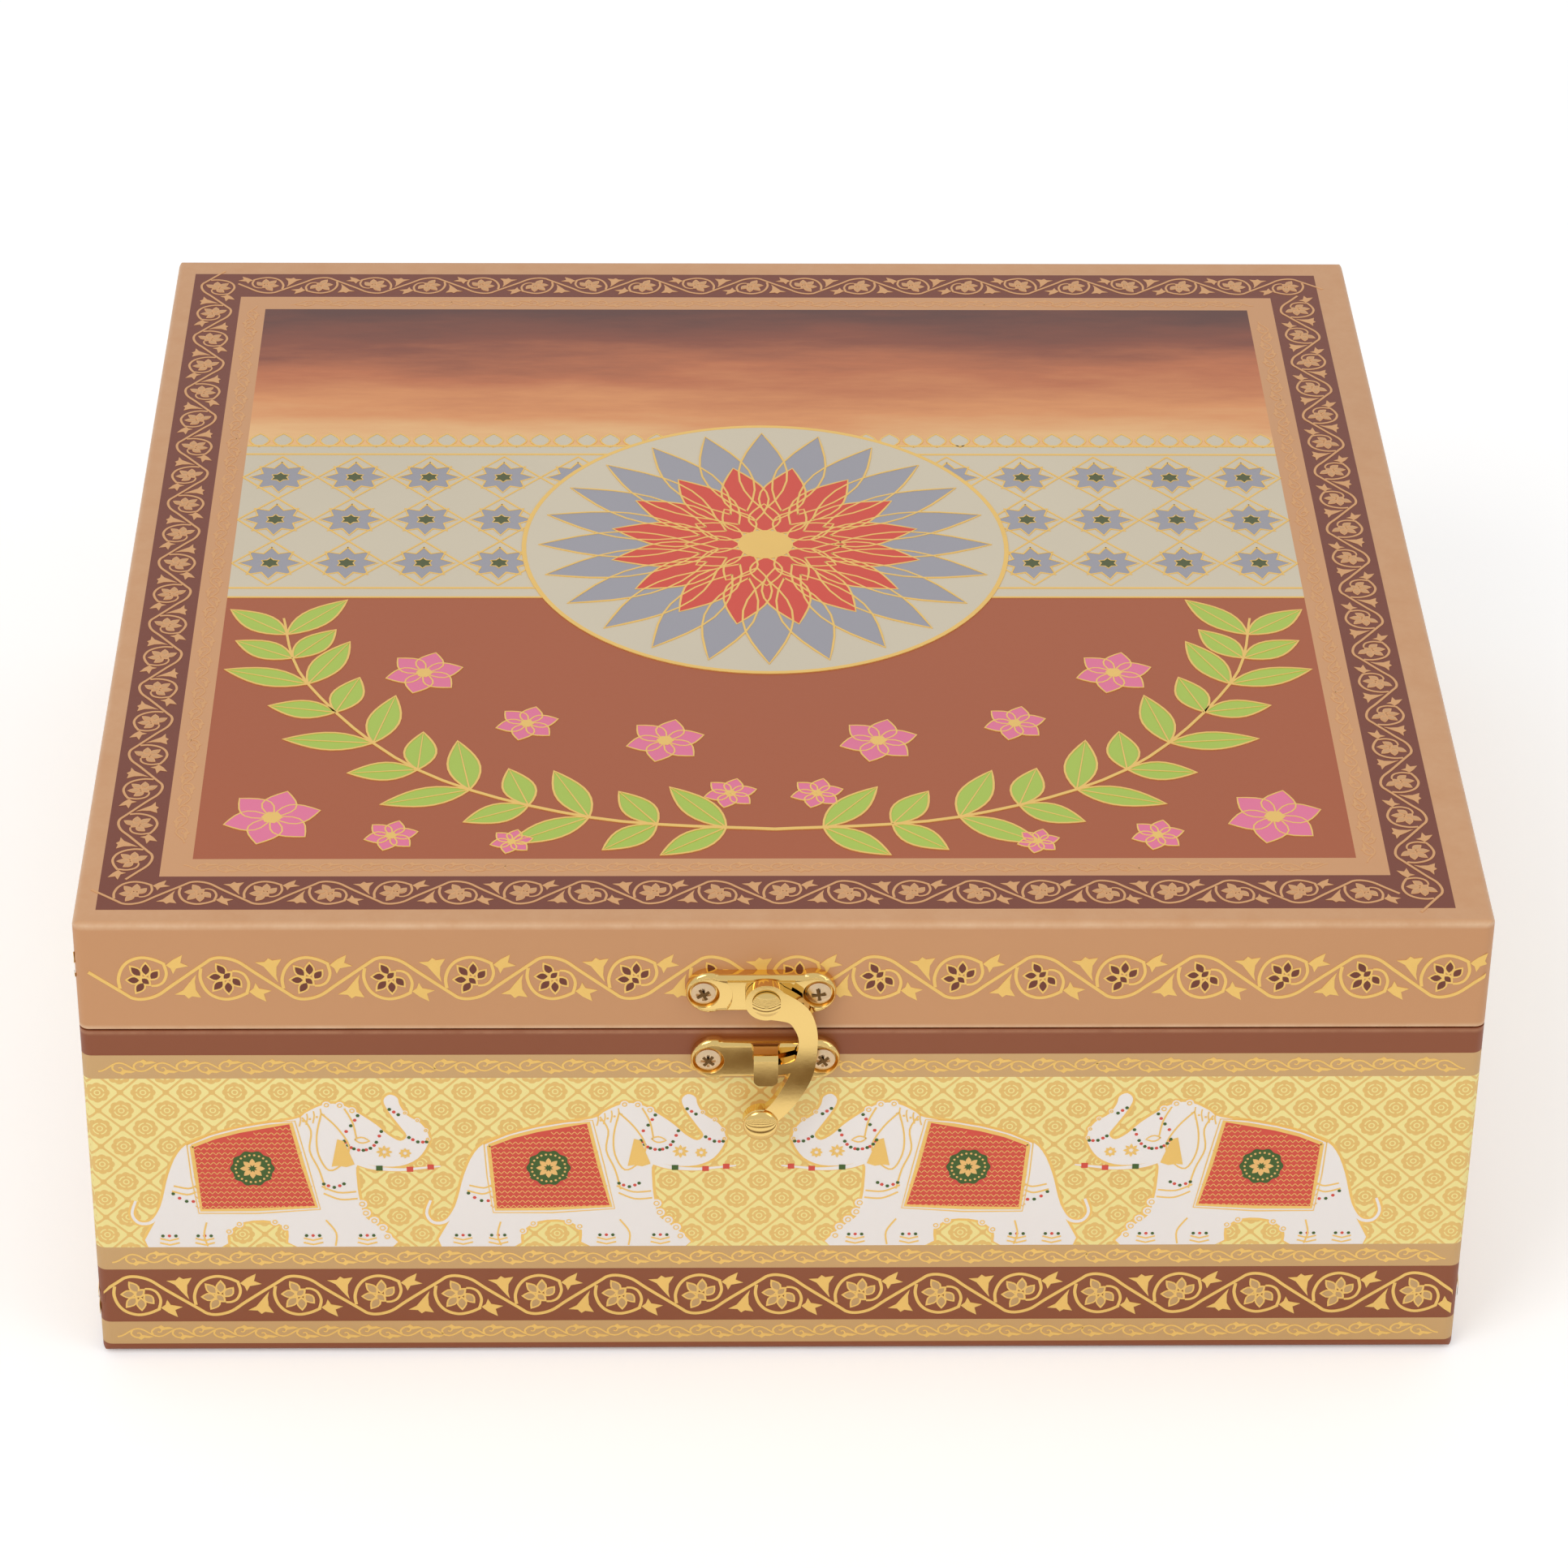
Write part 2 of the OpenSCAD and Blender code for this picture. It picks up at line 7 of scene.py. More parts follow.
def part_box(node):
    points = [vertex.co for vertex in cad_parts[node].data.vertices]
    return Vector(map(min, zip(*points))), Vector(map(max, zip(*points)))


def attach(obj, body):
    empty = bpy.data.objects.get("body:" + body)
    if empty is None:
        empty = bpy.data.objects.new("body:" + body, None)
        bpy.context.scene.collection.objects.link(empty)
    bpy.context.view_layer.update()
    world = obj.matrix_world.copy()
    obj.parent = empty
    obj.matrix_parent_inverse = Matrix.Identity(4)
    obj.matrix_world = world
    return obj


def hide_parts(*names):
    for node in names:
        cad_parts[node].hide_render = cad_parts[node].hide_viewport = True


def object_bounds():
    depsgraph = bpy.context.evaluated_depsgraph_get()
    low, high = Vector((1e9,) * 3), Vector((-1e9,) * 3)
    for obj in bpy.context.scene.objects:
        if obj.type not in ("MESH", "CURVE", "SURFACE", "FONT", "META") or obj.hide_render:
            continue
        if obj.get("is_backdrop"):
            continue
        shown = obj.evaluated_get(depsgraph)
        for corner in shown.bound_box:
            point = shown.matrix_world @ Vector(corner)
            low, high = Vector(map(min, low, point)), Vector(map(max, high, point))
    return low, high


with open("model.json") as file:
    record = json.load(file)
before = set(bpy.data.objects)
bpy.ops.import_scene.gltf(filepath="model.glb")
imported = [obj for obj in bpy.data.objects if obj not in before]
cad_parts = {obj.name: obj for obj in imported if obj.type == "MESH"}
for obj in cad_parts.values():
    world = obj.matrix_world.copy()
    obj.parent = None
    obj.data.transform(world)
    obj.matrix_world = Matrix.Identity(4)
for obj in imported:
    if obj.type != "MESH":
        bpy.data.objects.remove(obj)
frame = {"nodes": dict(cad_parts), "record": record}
cadBox = [list(corner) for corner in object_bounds()]
nodes = frame["nodes"]
mm = 0.001    # drawings below are in millimetres, Blender is in metres


def nodeCorners(node):    # lowest and highest corner of a CAD node, in millimetres
    return [[round(value / mm, 2) for value in corner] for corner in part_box(node)]


def nodeMiddle(node):
    low, high = nodeCorners(node)
    return [round((a + b) / 2, 2) for a, b in zip(low, high)]


lidHigh = nodeCorners("lid_wrap")[1]
box = {"half": lidHigh[0], "top": lidHigh[2], "cornerRadius": 2.0}


def deselectAll():
    for item in bpy.context.selected_objects:
        item.select_set(False)


def selectOnly(piece):
    deselectAll()
    piece.select_set(True)
    bpy.context.view_layer.objects.active = piece


print("camera")

cameraSettings = {
    "elevation": 33.162, "yaw": -1.626, "roll": 0.846,    # degrees
    "target": (2.88, 0.0, 44.6), "distance": 1069.6,    # millimetres
    "lens": 120.46, "sensor": 36.0, "nearest": 50.0,
}


def makeCamera(s):
    elevation, yaw, roll = radians(s["elevation"]), radians(s["yaw"]), radians(s["roll"])
    back = Vector((sin(yaw) * cos(elevation), -cos(yaw) * cos(elevation), sin(elevation)))
    level = Vector((0, 0, 1)).cross(back).normalized()
    upright = back.cross(level)
    right = level * cos(roll) + upright * sin(roll)
    up = upright * cos(roll) - level * sin(roll)
    spot = (Vector(s["target"]) + back * s["distance"]) * mm
    data = bpy.data.cameras.new("camera")
    data.sensor_width = s["sensor"]
    data.sensor_fit = "HORIZONTAL"
    data.lens = s["lens"]
    data.clip_start = s["nearest"] * mm
    camera = bpy.data.objects.new("camera", data)
    bpy.context.scene.collection.objects.link(camera)
    camera.matrix_world = Matrix((
        (right.x, up.x, back.x, spot.x),
        (right.y, up.y, back.y, spot.y),
        (right.z, up.z, back.z, spot.z),
        (0, 0, 0, 1)))
    bpy.context.scene.camera = camera


makeCamera(cameraSettings)


class Wire:    # one node output, so that shader maths can be written as an expression
    def __init__(self, finish, out):
        self.finish, self.out = finish, out

    def __add__(self, other):
        return self.finish.math("ADD", self, other)

    def __radd__(self, other):
        return self.finish.math("ADD", other, self)

    def __sub__(self, other):
        return self.finish.math("SUBTRACT", self, other)

    def __rsub__(self, other):
        return self.finish.math("SUBTRACT", other, self)

    def __mul__(self, other):
        return self.finish.math("MULTIPLY", self, other)

    def __rmul__(self, other):
        return self.finish.math("MULTIPLY", other, self)

    def __truediv__(self, other):
        return self.finish.math("DIVIDE", self, other)

    def __rtruediv__(self, other):
        return self.finish.math("DIVIDE", other, self)

    def __abs__(self):
        return self.finish.math("ABSOLUTE", self)

    def __lt__(self, other):
        return self.finish.math("LESS_THAN", self, other)

    def __gt__(self, other):
        return self.finish.math("GREATER_THAN", self, other)


class Finish:    # one material, its shader and the nodes that feed it
    def __init__(self, name, roughness=0.5, metallic=0.0):
        self.material = bpy.data.materials.new(name)
        self.material.use_nodes = True
        self.shader = self.material.node_tree.nodes["Principled BSDF"]
        self.set("Roughness", roughness)
        self.set("Metallic", metallic)
        self.place = self.node("ShaderNodeTexCoord", {}, {}, "Object")

    def plug(self, socket, value):
        if isinstance(value, Wire):
            self.material.node_tree.links.new(value.out, socket)
        elif socket.type == "RGBA":
            socket.default_value = tuple(value) + (1.0,)
        else:
            socket.default_value = value

    def set(self, key, value):
        self.plug(self.shader.inputs[key], value)

    def node(self, kind, settings, sockets, out=0):
        made = self.material.node_tree.nodes.new(kind)
        for key, value in settings.items():
            if key == "stops":
                self.setStops(made.color_ramp.elements, value)
            else:
                setattr(made, key, value)
        for key, value in sockets.items():
            self.plug(made.inputs[key], value)
        return Wire(self, made.outputs[out])

    def setStops(self, elements, stops):
        while len(elements) < len(stops):
            elements.new(0.5)
        for element, (position, colour) in zip(elements, stops):
            element.position = position
            element.color = colour + (1.0,)

    def math(self, operation, *values, clamp=False):
        settings = {"operation": operation, "use_clamp": clamp}
        return self.node("ShaderNodeMath", settings, dict(enumerate(values)))

    def noise(self, scale, detail, roughness=0.55, place=None):
        return self.node("ShaderNodeTexNoise", {}, {
            "Vector": place or self.place, "Scale": scale, "Detail": detail, "Roughness": roughness})

    def mix(self, factor, first, second):
        colourSockets = {0: factor, 6: first, 7: second}
        return self.node("ShaderNodeMix", {"data_type": "RGBA"}, colourSockets, 2)

    def ramp(self, factor, *stops):
        return self.node("ShaderNodeValToRGB", {"stops": stops}, {0: factor})

    def axis(self, letter):
        return self.node("ShaderNodeSeparateXYZ", {}, {0: self.place}, letter)

    def bump(self, height, strength, distance):
        sockets = {"Height": height, "Strength": strength, "Distance": distance * mm}
        self.set("Normal", self.node("ShaderNodeBump", {}, sockets))


def srgb(red, green, blue):
    return tuple(((value / 255 + 0.055) / 1.055) ** 2.4 for value in (red, green, blue))


def shade(colour, factor):
    return tuple(min(1.0, value * factor) for value in colour)


print("papers and metals")

paperLook = {
    "roughness": 0.42, "grainGloss": 0.10, "cloudGloss": 0.16, "coat": 0.15, "coatRoughness": 0.25,
    "mottle": 0.06, "smudge": 0.10, "smudgeShade": 0.78, "smudgeStops": (0.62, 0.74),
    "grainScale": 900.0, "mottleScale": 9.0, "smudgeScale": 45.0, "wornHighlitScale": 160.0, "wornHighlitShare": 0.9,
}
foilLook = {
    "metallic": 0.35, "roughness": 0.38, "grainGloss": 0.14, "darker": 0.94, "lighter": 1.05,
    "cloudScale": 60.0, "grainScale": 700.0,
}
giltLook = {
    "cloudGloss": 0.12, "glossStart": 0.05, "darker": 0.93, "lighter": 1.04,
    "cloudScale": 120.0, "grainScale": 1500.0,
}


# The pale band along the folds is partly rubbed paper and partly a painted highlight on the rounded edges.
def wornAndHighlitFolds(f, edges):    # a mask that is 1 along the folds, at height and reach in millimetres
    height = f.axis("Z")
    upper, lower = [f.math("SUBTRACT", 1.0, abs(height - level * mm) / (reach * mm), clamp=True)
                    for level, reach in edges]
    return (upper + lower) * (f.noise(paperLook["wornHighlitScale"], 4.0, 0.7) * paperLook["wornHighlitShare"])


def paper(name, colour, foldWearAndHighlight=None, **changes):    # satin printed wrap
    look = {**paperLook, **changes}
    f = Finish(name, look["roughness"])
    grain = f.noise(look["grainScale"], 2.0)
    cloud = f.noise(look["mottleScale"], 4.0)
    scuff = f.noise(look["smudgeScale"], 5.0, 0.65)
    tone = f.mix(cloud, shade(colour, 1 - look["mottle"]), shade(colour, 1 + look["mottle"]))
    clean, worn = look["smudgeStops"]
    smudge = f.ramp(scuff, (clean, (0, 0, 0)), (worn, (1, 1, 1)))
    tone = f.mix(smudge * look["smudge"], tone, shade(colour, look["smudgeShade"]))
    # paler colour at the folds: partly rubbed paper, partly painted highlight
    if foldWearAndHighlight:
        tone = f.mix(wornAndHighlitFolds(f, foldWearAndHighlight["edges"]), tone, foldWearAndHighlight["colour"])
    f.set("Base Color", tone)
    smoothest = look["roughness"] - (look["grainGloss"] + look["cloudGloss"]) / 2
    f.set("Roughness", grain * look["grainGloss"] + (cloud * look["cloudGloss"] + smoothest))
    f.set("Coat Weight", look["coat"])
    f.set("Coat Roughness", look["coatRoughness"])
    f.bump(grain, 0.25, 0.03)
    return f.material


def ink(name, colour, mottle, smudge=paperLook["smudge"]):    # a plain printed colour
    return paper(name, colours[colour], roughness=0.4, mottle=mottle, smudge=smudge)


def foil(name, colour):    # matt gold ink
    look = foilLook
    f = Finish(name, look["roughness"], look["metallic"])
    cloud = f.noise(look["cloudScale"], 3.0)
    grain = f.noise(look["grainScale"], 2.0)
    f.set("Base Color", f.mix(cloud, shade(colour, look["darker"]), shade(colour, look["lighter"])))
    f.set("Roughness", grain * look["grainGloss"] + (look["roughness"] - look["grainGloss"] / 2))
    f.bump(grain, 0.2, 0.02)
    return f.material


def gilt(name, colour, roughness):    # polished plating
    look = giltLook
    f = Finish(name, roughness, 1.0)
    cloud = f.noise(look["cloudScale"], 4.0)
    grain = f.noise(look["grainScale"], 2.0)
    f.set("Base Color", f.mix(cloud, shade(colour, look["darker"]), shade(colour, look["lighter"])))
    f.set("Roughness", cloud * look["cloudGloss"] + (roughness - look["glossStart"]))
    f.bump(grain, 0.12, 0.01)
    return f.material


colours = {
    "tan": srgb(205, 147, 98), "frameBrown": srgb(120, 55, 33), "baseBrown": srgb(142, 73, 35),
    "beige": srgb(208, 165, 108), "lidBeige": srgb(212, 156, 108), "yellow": srgb(249, 231, 150),
    "lattice": srgb(238, 197, 116), "gold": srgb(250, 206, 116), "roseGold": srgb(228, 172, 118),
    "clothGold": srgb(246, 196, 120), "white": srgb(243, 236, 231), "red": srgb(218, 70, 52),
    "green": srgb(56, 92, 20), "petalBrown": srgb(112, 48, 28), "terracotta": srgb(172, 86, 44),
    "cream": srgb(214, 202, 178), "grey": srgb(160, 158, 166), "leaf": srgb(174, 200, 78),
    "darkLeaf": srgb(74, 84, 36), "pink": srgb(232, 118, 156),
    # pale fold colours: partly rubbed paper, partly painted highlight
    "wornHighlitTan": srgb(240, 206, 168), "wornHighlitBrown": srgb(196, 140, 100),
    "board": srgb(176, 142, 104), "lining": srgb(226, 205, 160), "card": srgb(120, 66, 44),
    "bottom": srgb(150, 150, 148),
    "giltMetal": (0.90, 0.64, 0.24), "giltScrew": (0.88, 0.66, 0.42), "slotShade": (0.20, 0.11, 0.04),
}

# The lid's and base's folds get a pale band that is partly rubbed paper and partly painted highlight.
tanPaper = paper("tanPaper", colours["tan"],
                 {"edges": ((97.4, 0.9), (75.3, 0.7)), "colour": colours["wornHighlitTan"]})
basePaper = paper("basePaper", colours["baseBrown"],
                  {"edges": ((0.4, 0.7), (74.2, 0.6)), "colour": colours["wornHighlitBrown"]})
framePaper = paper("framePaper", colours["frameBrown"])
beigePaper = paper("beigePaper", colours["beige"])
lidBeigePaper = paper("lidBeigePaper", colours["lidBeige"])
beigePetal = paper("beigePetal", shade(colours["beige"], 0.92))
rosePetal = paper("rosePetal", shade(colours["roseGold"], 0.82))
brownPetal = paper("brownPetal", colours["petalBrown"])
goldFoil = foil("goldFoil", colours["gold"])
roseFoil = foil("roseFoil", colours["roseGold"])
boardFinish = paper("boardFinish", colours["board"], roughness=0.85, mottle=0.12, smudge=0.2, coat=0.0)
liningFinish = paper("liningFinish", colours["lining"], roughness=0.6, mottle=0.05, smudge=0.06, coat=0.0)
cardFinish = paper("cardFinish", colours["card"], roughness=0.6, mottle=0.06, smudge=0.06, coat=0.0)
bottomFinish = paper("bottomFinish", colours["bottom"], roughness=0.7, mottle=0.06, smudge=0.08, coat=0.0)
giltMetal = gilt("giltMetal", colours["giltMetal"], 0.07)
giltScrew = gilt("giltScrew", colours["giltScrew"], 0.30)

# The lattice is drawn in cells: 1 is the distance from one rosette to the next along a diagonal.
lattice = {
    "pitchX": 8.3, "pitchZ": 8.15, "middle": 44.6,    # millimetres
    "rosette": 0.34, "lobe": 0.05, "ring": 0.21, "ringWidth": 0.022, "ringGap": 0.35,
    "eye": 0.085, "eyeWidth": 0.02, "line": 0.462, "crossing": 0.86,
    "shift": 100.5,    # keeps the cell numbers above zero, with a rosette in the middle of each
}


def makeLattice(name, letter):
    f = Finish(name, 0.45)
    u = f.axis(letter) / (lattice["pitchX"] * mm)
    v = (f.axis("Z") - lattice["middle"] * mm) / (lattice["pitchZ"] * mm)
    da = f.math("FRACT", u + v + lattice["shift"]) - 0.5
    db = f.math("FRACT", u - v + lattice["shift"]) - 0.5
    radius = f.math("SQRT", da * da + db * db)
    angle = f.math("ARCTAN2", db, da)
    lobes = abs(f.math("COSINE", angle * 4.0))
    rosette = radius < lobes * lattice["lobe"] + lattice["rosette"]
    openings = abs(f.math("COSINE", angle * 2.0)) > lattice["ringGap"]
    ring = (abs(radius - lattice["ring"]) < lattice["ringWidth"]) * openings
    eye = abs(radius - lattice["eye"]) < lattice["eyeWidth"]
    lines = (abs(da) > lattice["line"]) + (abs(db) > lattice["line"])
    crossing = (abs(da) + abs(db)) > lattice["crossing"]
    gold = f.math("MAXIMUM", lines + crossing, rosette - ring - eye)
    mask = f.math("MINIMUM", gold, 1.0, clamp=True)
    ground = f.mix(f.noise(12.0, 3.0), shade(colours["yellow"], 0.96), shade(colours["yellow"], 1.02))
    f.set("Base Color", f.mix(mask, ground, colours["lattice"]))
    f.set("Metallic", mask * 0.25)
    f.set("Roughness", 0.5 - mask * 0.12)
    f.bump(mask + f.noise(paperLook["grainScale"], 2.0) * 0.3, 0.3, 0.05)
    return f.material


latticeFront = makeLattice("latticeFront", "X")
latticeSide = makeLattice("latticeSide", "Y")

finishOf = {
    "board": boardFinish, "lid_paper": tanPaper, "base_paper": basePaper,
    "bottom_paper": bottomFinish, "lining_paper": liningFinish, "divider_card": cardFinish,
    "gilt_metal": giltMetal, "gilt_screw": giltScrew,
}
for part in frame["record"]["subparts"]:
    piece = nodes[part["node"]]
    piece.data.materials.clear()
    piece.data.materials.append(finishOf[part["material_slot"]])
    for polygon in piece.data.polygons:
        polygon.material_index = 0

print("clasp and hinges")

roundedMetal = {    # the body that carries each pressed or cast piece, and its edge radius in millimetres
    "hook_arm": ("hook", 0.62), "latch_plate": ("lid", 0.22), "catch_plate": ("base", 0.22),
    "hinge_base_leaf_left": ("base", 0.12), "hinge_base_leaf_right": ("base", 0.12),
    "hinge_lid_leaf_left": ("lid", 0.12), "hinge_lid_leaf_right": ("lid", 0.12),
}


def roundMetal(nodeName, body, radius):    # a copy of the CAD piece with its edges rounded
    source = nodes[nodeName]
    piece = source.copy()
    piece.data = source.data.copy()
    piece.name = "rounded_" + nodeName
    piece.parent = None
    for key in list(piece.keys()):
        del piece[key]
    bpy.context.scene.collection.objects.link(piece)
    selectOnly(piece)
    bpy.ops.object.mode_set(mode="EDIT")
    bpy.ops.mesh.select_all(action="SELECT")
    bpy.ops.mesh.remove_doubles(threshold=0.00001)
    bpy.ops.mesh.dissolve_limited(angle_limit=radians(1.0))
    bpy.ops.object.mode_set(mode="OBJECT")
    soften = piece.modifiers.new("soften", "BEVEL")
    soften.width = radius * mm
    soften.segments = 4
    soften.limit_method = "ANGLE"
    soften.angle_limit = radians(42)
    bpy.ops.object.modifier_apply(modifier="soften")
    bpy.ops.object.shade_smooth_by_angle(angle=radians(40))
    even = piece.modifiers.new("even", "WEIGHTED_NORMAL")
    even.keep_sharp = True
    even.weight = 60
    bpy.ops.object.modifier_apply(modifier="even")
    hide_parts(nodeName)
    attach(piece, body)


for nodeName, (body, radius) in roundedMetal.items():
    roundMetal(nodeName, body, radius)

# A cap has its middle at x and z, and its radius, rise and distance from the wall.
rivetX, _, rivetZ = nodeMiddle("hook_rivet")
caps = {
    "rivet_cap": {"body": "lid", "x": rivetX, "z": rivetZ, "radius": 2.5, "rise": 0.95, "depth": 5.12},
    "hook_tip_cap": {"body": "hook", "x": -4.2, "z": 57.0, "radius": 3.2, "rise": 1.1, "depth": 5.2},
}


def dome(name, cap):    # a polished cap, flattened from a ball, that sits on the metal below it
    deselectAll()
    bpy.ops.mesh.primitive_uv_sphere_add(segments=48, ring_count=24, radius=1.0, location=(0, 0, 0))
    piece = bpy.context.object
    piece.name = name
    bpy.ops.object.mode_set(mode="EDIT")
    bpy.ops.mesh.select_all(action="SELECT")
    bpy.ops.mesh.bisect(plane_co=(0, 0, -0.05), plane_no=(0, 1, 0), use_fill=True, clear_outer=True)
    bpy.ops.mesh.select_all(action="SELECT")
    bpy.ops.transform.resize(value=(cap["radius"] * mm, cap["rise"] * mm, cap["radius"] * mm),
                             center_override=(0, 0, 0))
    bpy.ops.object.mode_set(mode="OBJECT")
    for vertex in piece.data.vertices:
        vertex.co += Vector((cap["x"], -box["half"] - cap["depth"], cap["z"])) * mm
    bpy.ops.object.shade_smooth_by_angle(angle=radians(50))
    piece.data.materials.append(giltMetal)
    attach(piece, cap["body"])


for name, cap in caps.items():
    dome(name, cap)

print("printed bands")

sheetLook = {
    "step": 0.0009, "steps": 31,    # millimetres between overlapping shapes, which never share a height
    "wallEdge": 126.0,    # the print on a wall is cut here, where the paper turns the corner
}
lifts = {"band": 0.02, "scroll": 0.05, "vine": 0.06, "petal": 0.085}    # millimetres above the paper


def sideMap(side):    # from a drawing to the front, right, back or left wall
    def put(s, z, lift):
        s = max(-sheetLook["wallEdge"], min(sheetLook["wallEdge"], s))
        out = box["half"] + lift
        return ((s, -out, z), (out, s, z), (-s, out, z), (-out, -s, z))[side]
    return put


def onTop(x, y, lift):
    return (x, y, box["top"] + lift)


def placed(x, z, across=1.0, up=1.0):    # shifts and scales a motif, or mirrors it with a negative scale
    return lambda p: (x + p[0] * across, z + p[1] * up)


inPlace = placed(0.0, 0.0)


class PrintSheet:    # raised ink or foil: many small flat shapes that become one piece
    def __init__(self, lift, bottom=0.0):
        self.points, self.faces = [], []
        self.base, self.bottom, self.made = lift, bottom, 0

    @property
    def lift(self):
        return self.base + sheetLook["step"] * (self.made % sheetLook["steps"])

    def shape(self, outline, put, move=inPlace):
        self.made += 1
        flat = [move(p) for p in outline]
        if area(flat) < 0:
            flat = flat[::-1]
        count, start = len(flat), len(self.points)
        for level in (self.bottom, self.lift):
            self.points += [put(*p, level) for p in flat]
        self.faces.append([start + count + i for i in range(count)])
        self.faces.append([start + i for i in range(count)][::-1])
        for i in range(count):
            j = (i + 1) % count
            self.faces.append([start + i, start + j, start + count + j, start + count + i])

    def stroke(self, route, width, put, move=inPlace, taper=1.0):
        self.made += 1
        route = [move(p) for p in route]
        last, start = len(route) - 1, len(self.points)
        for i, (x, z) in enumerate(route):
            before, after = route[max(i - 1, 0)], route[min(i + 1, last)]
            dx, dz = after[0] - before[0], after[1] - before[1]
            length = hypot(dx, dz) or 1.0
            half = width / 2 * (1 + (taper - 1) * i / last)
            sideX, sideZ = -dz / length * half, dx / length * half
            for level in (self.bottom, self.lift):
                self.points.append(put(x + sideX, z + sideZ, level))
                self.points.append(put(x - sideX, z - sideZ, level))
        for i in range(last):
            a, b = start + 4 * i, start + 4 * (i + 1)
            self.faces += [[a + 2, a + 3, b + 3, b + 2], [a, b, b + 1, a + 1],
                           [a, a + 2, b + 2, b], [a + 1, b + 1, b + 3, a + 3]]
        end = start + 4 * last
        self.faces += [[start, start + 1, start + 3, start + 2], [end, end + 2, end + 3, end + 1]]

    def outlined(self, edge, outline, width):
        self.shape(outline, onTop)
        edge.stroke(outline + outline[:1], width, onTop)

    def build(self, name, body, slot, *materials):
        mesh = bpy.data.meshes.new(name)
        mesh.from_pydata([Vector(p) * mm for p in self.points], [], self.faces)
        mesh.update()
        for material in materials:
            mesh.materials.append(material)
        piece = bpy.data.objects.new(name, mesh)
        bpy.context.scene.collection.objects.link(piece)
        selectOnly(piece)
        bpy.ops.object.mode_set(mode="EDIT")
        bpy.ops.mesh.select_all(action="SELECT")
        bpy.ops.mesh.normals_make_consistent(inside=False)
        bpy.ops.object.mode_set(mode="OBJECT")
        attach(piece, body)
        return piece


def area(outline):
    return sum(a[0] * b[1] - b[0] * a[1] for a, b in zip(outline, outline[1:] + outline[:1])) / 2


def between(before, start, end, after, t):
    return 0.5 * (2 * start + (end - before) * t + (2 * before - 5 * start + 4 * end - after) * t * t
                  + (3 * start - before - 3 * end + after) * t ** 3)


def smooth(points, steps, closed=False):    # a curve through the points
    count = len(points)
    result = []
    for i in range(count if closed else count - 1):
        if closed:
            near = [points[(i + k) % count] for k in (-1, 0, 1, 2)]
        else:
            near = [points[min(max(i + k, 0), count - 1)] for k in (-1, 0, 1, 2)]
        for j in range(steps):
            result.append(tuple(between(*values, j / steps) for values in zip(*near)))
    return result if closed else result + [points[-1]]


def petal(base, tip, width, steps=5, pointed=0.9):
    dx, dy = tip[0] - base[0], tip[1] - base[1]
    length = hypot(dx, dy)
    left, right = [], []
    for t in [i / steps for i in range(1, steps)]:
        half = width / 2 * sin(pi * t ** pointed)
        left.append((base[0] + dx * t - dy / length * half, base[1] + dy * t + dx / length * half))
        right.append((base[0] + dx * t + dy / length * half, base[1] + dy * t - dx / length * half))
    return [base] + right + [tip] + left[::-1]


def circle(x, y, radius, count):
    angles = [2 * pi * k / count for k in range(count)]
    return [(x + radius * cos(angle), y + radius * sin(angle)) for angle in angles]


def grown(outline, amount):
    count = len(outline)
    turn = amount if area(outline) > 0 else -amount
    result = []
    for i, (x, y) in enumerate(outline):
        before, after = outline[i - 1], outline[(i + 1) % count]
        dx, dy = after[0] - before[0], after[1] - before[1]
        length = hypot(dx, dy) or 1.0
        result.append((x + dy / length * turn, y - dx / length * turn))
    return result


def shrunk(outline, centre, factor):
    return [(centre[0] + (x - centre[0]) * factor, centre[1] + (y - centre[1]) * factor) for x, y in outline]


corners = ((1, -1), (1, 1), (-1, 1), (-1, -1))    # the box's corners, anticlockwise from the front right
bandLook = {"thickness": 0.0004, "cornerStep": 15}    # a share of the half width, and degrees


def bandRing(name, levels, *materials):    # printed bands that run round all four walls
    lift = lifts["band"]
    half, radius = box["half"] + lift, box["cornerRadius"] + lift
    outline = []
    for turn, (signX, signY) in enumerate(corners):
        for degrees in range(-90, 1, bandLook["cornerStep"]):
            angle = radians(degrees + 90 * turn)
            outline.append((signX * (half - radius) + radius * cos(angle),
                            signY * (half - radius) + radius * sin(angle)))
    count = len(outline)
    inner = 1 - bandLook["thickness"]
    sheet = PrintSheet(lift)
    for low, high in levels:
        a = len(sheet.points)
        b, c, d = a + count, a + 2 * count, a + 3 * count
        for factor, z in ((1.0, low), (1.0, high), (inner, low), (inner, high)):
            sheet.points += [(x * factor, y * factor, z) for x, y in outline]
        for i in range(count):
            j = (i + 1) % count
            sheet.faces += [[a + i, a + j, b + j, b + i], [c + j, c + i, d + i, d + j],
                            [b + i, b + j, d + j, d + i], [a + j, a + i, c + i, c + j]]
    return sheet.build(name, "base", "base_paper", *materials)


basePrint = {
    "beige": ((2.45, 7.7), (20.1, 25.3), (64.0, 69.2)),    # heights above the table, in millimetres
    "frieze": (25.3, 64.0),
    "vine": {"start": -119.8, "pitch": 14.93, "count": 17, "height": 13.9, "scale": 1.0, "firstFlip": 1},
    "scroll": {"start": -124.0, "length": 248.0, "pitch": 7.75, "scale": 1.0},
    "scrollHeights": (5.1, 22.7, 66.6),
    "elephants": ((-97.1, 1), (-42.9, 1), (34.2, -1), (88.2, -1)),    # middle of the cloth, and facing
    "elephantHeight": 43.6,
}
bandRing("beige_bands", basePrint["beige"], beigePaper)
friezeBand = bandRing("frieze_band", (basePrint["frieze"],), latticeFront, latticeSide)
for polygon in friezeBand.data.polygons:
    polygon.material_index = 1 if abs(polygon.normal.x) > 0.7 else 0

print("vines and scrolls")

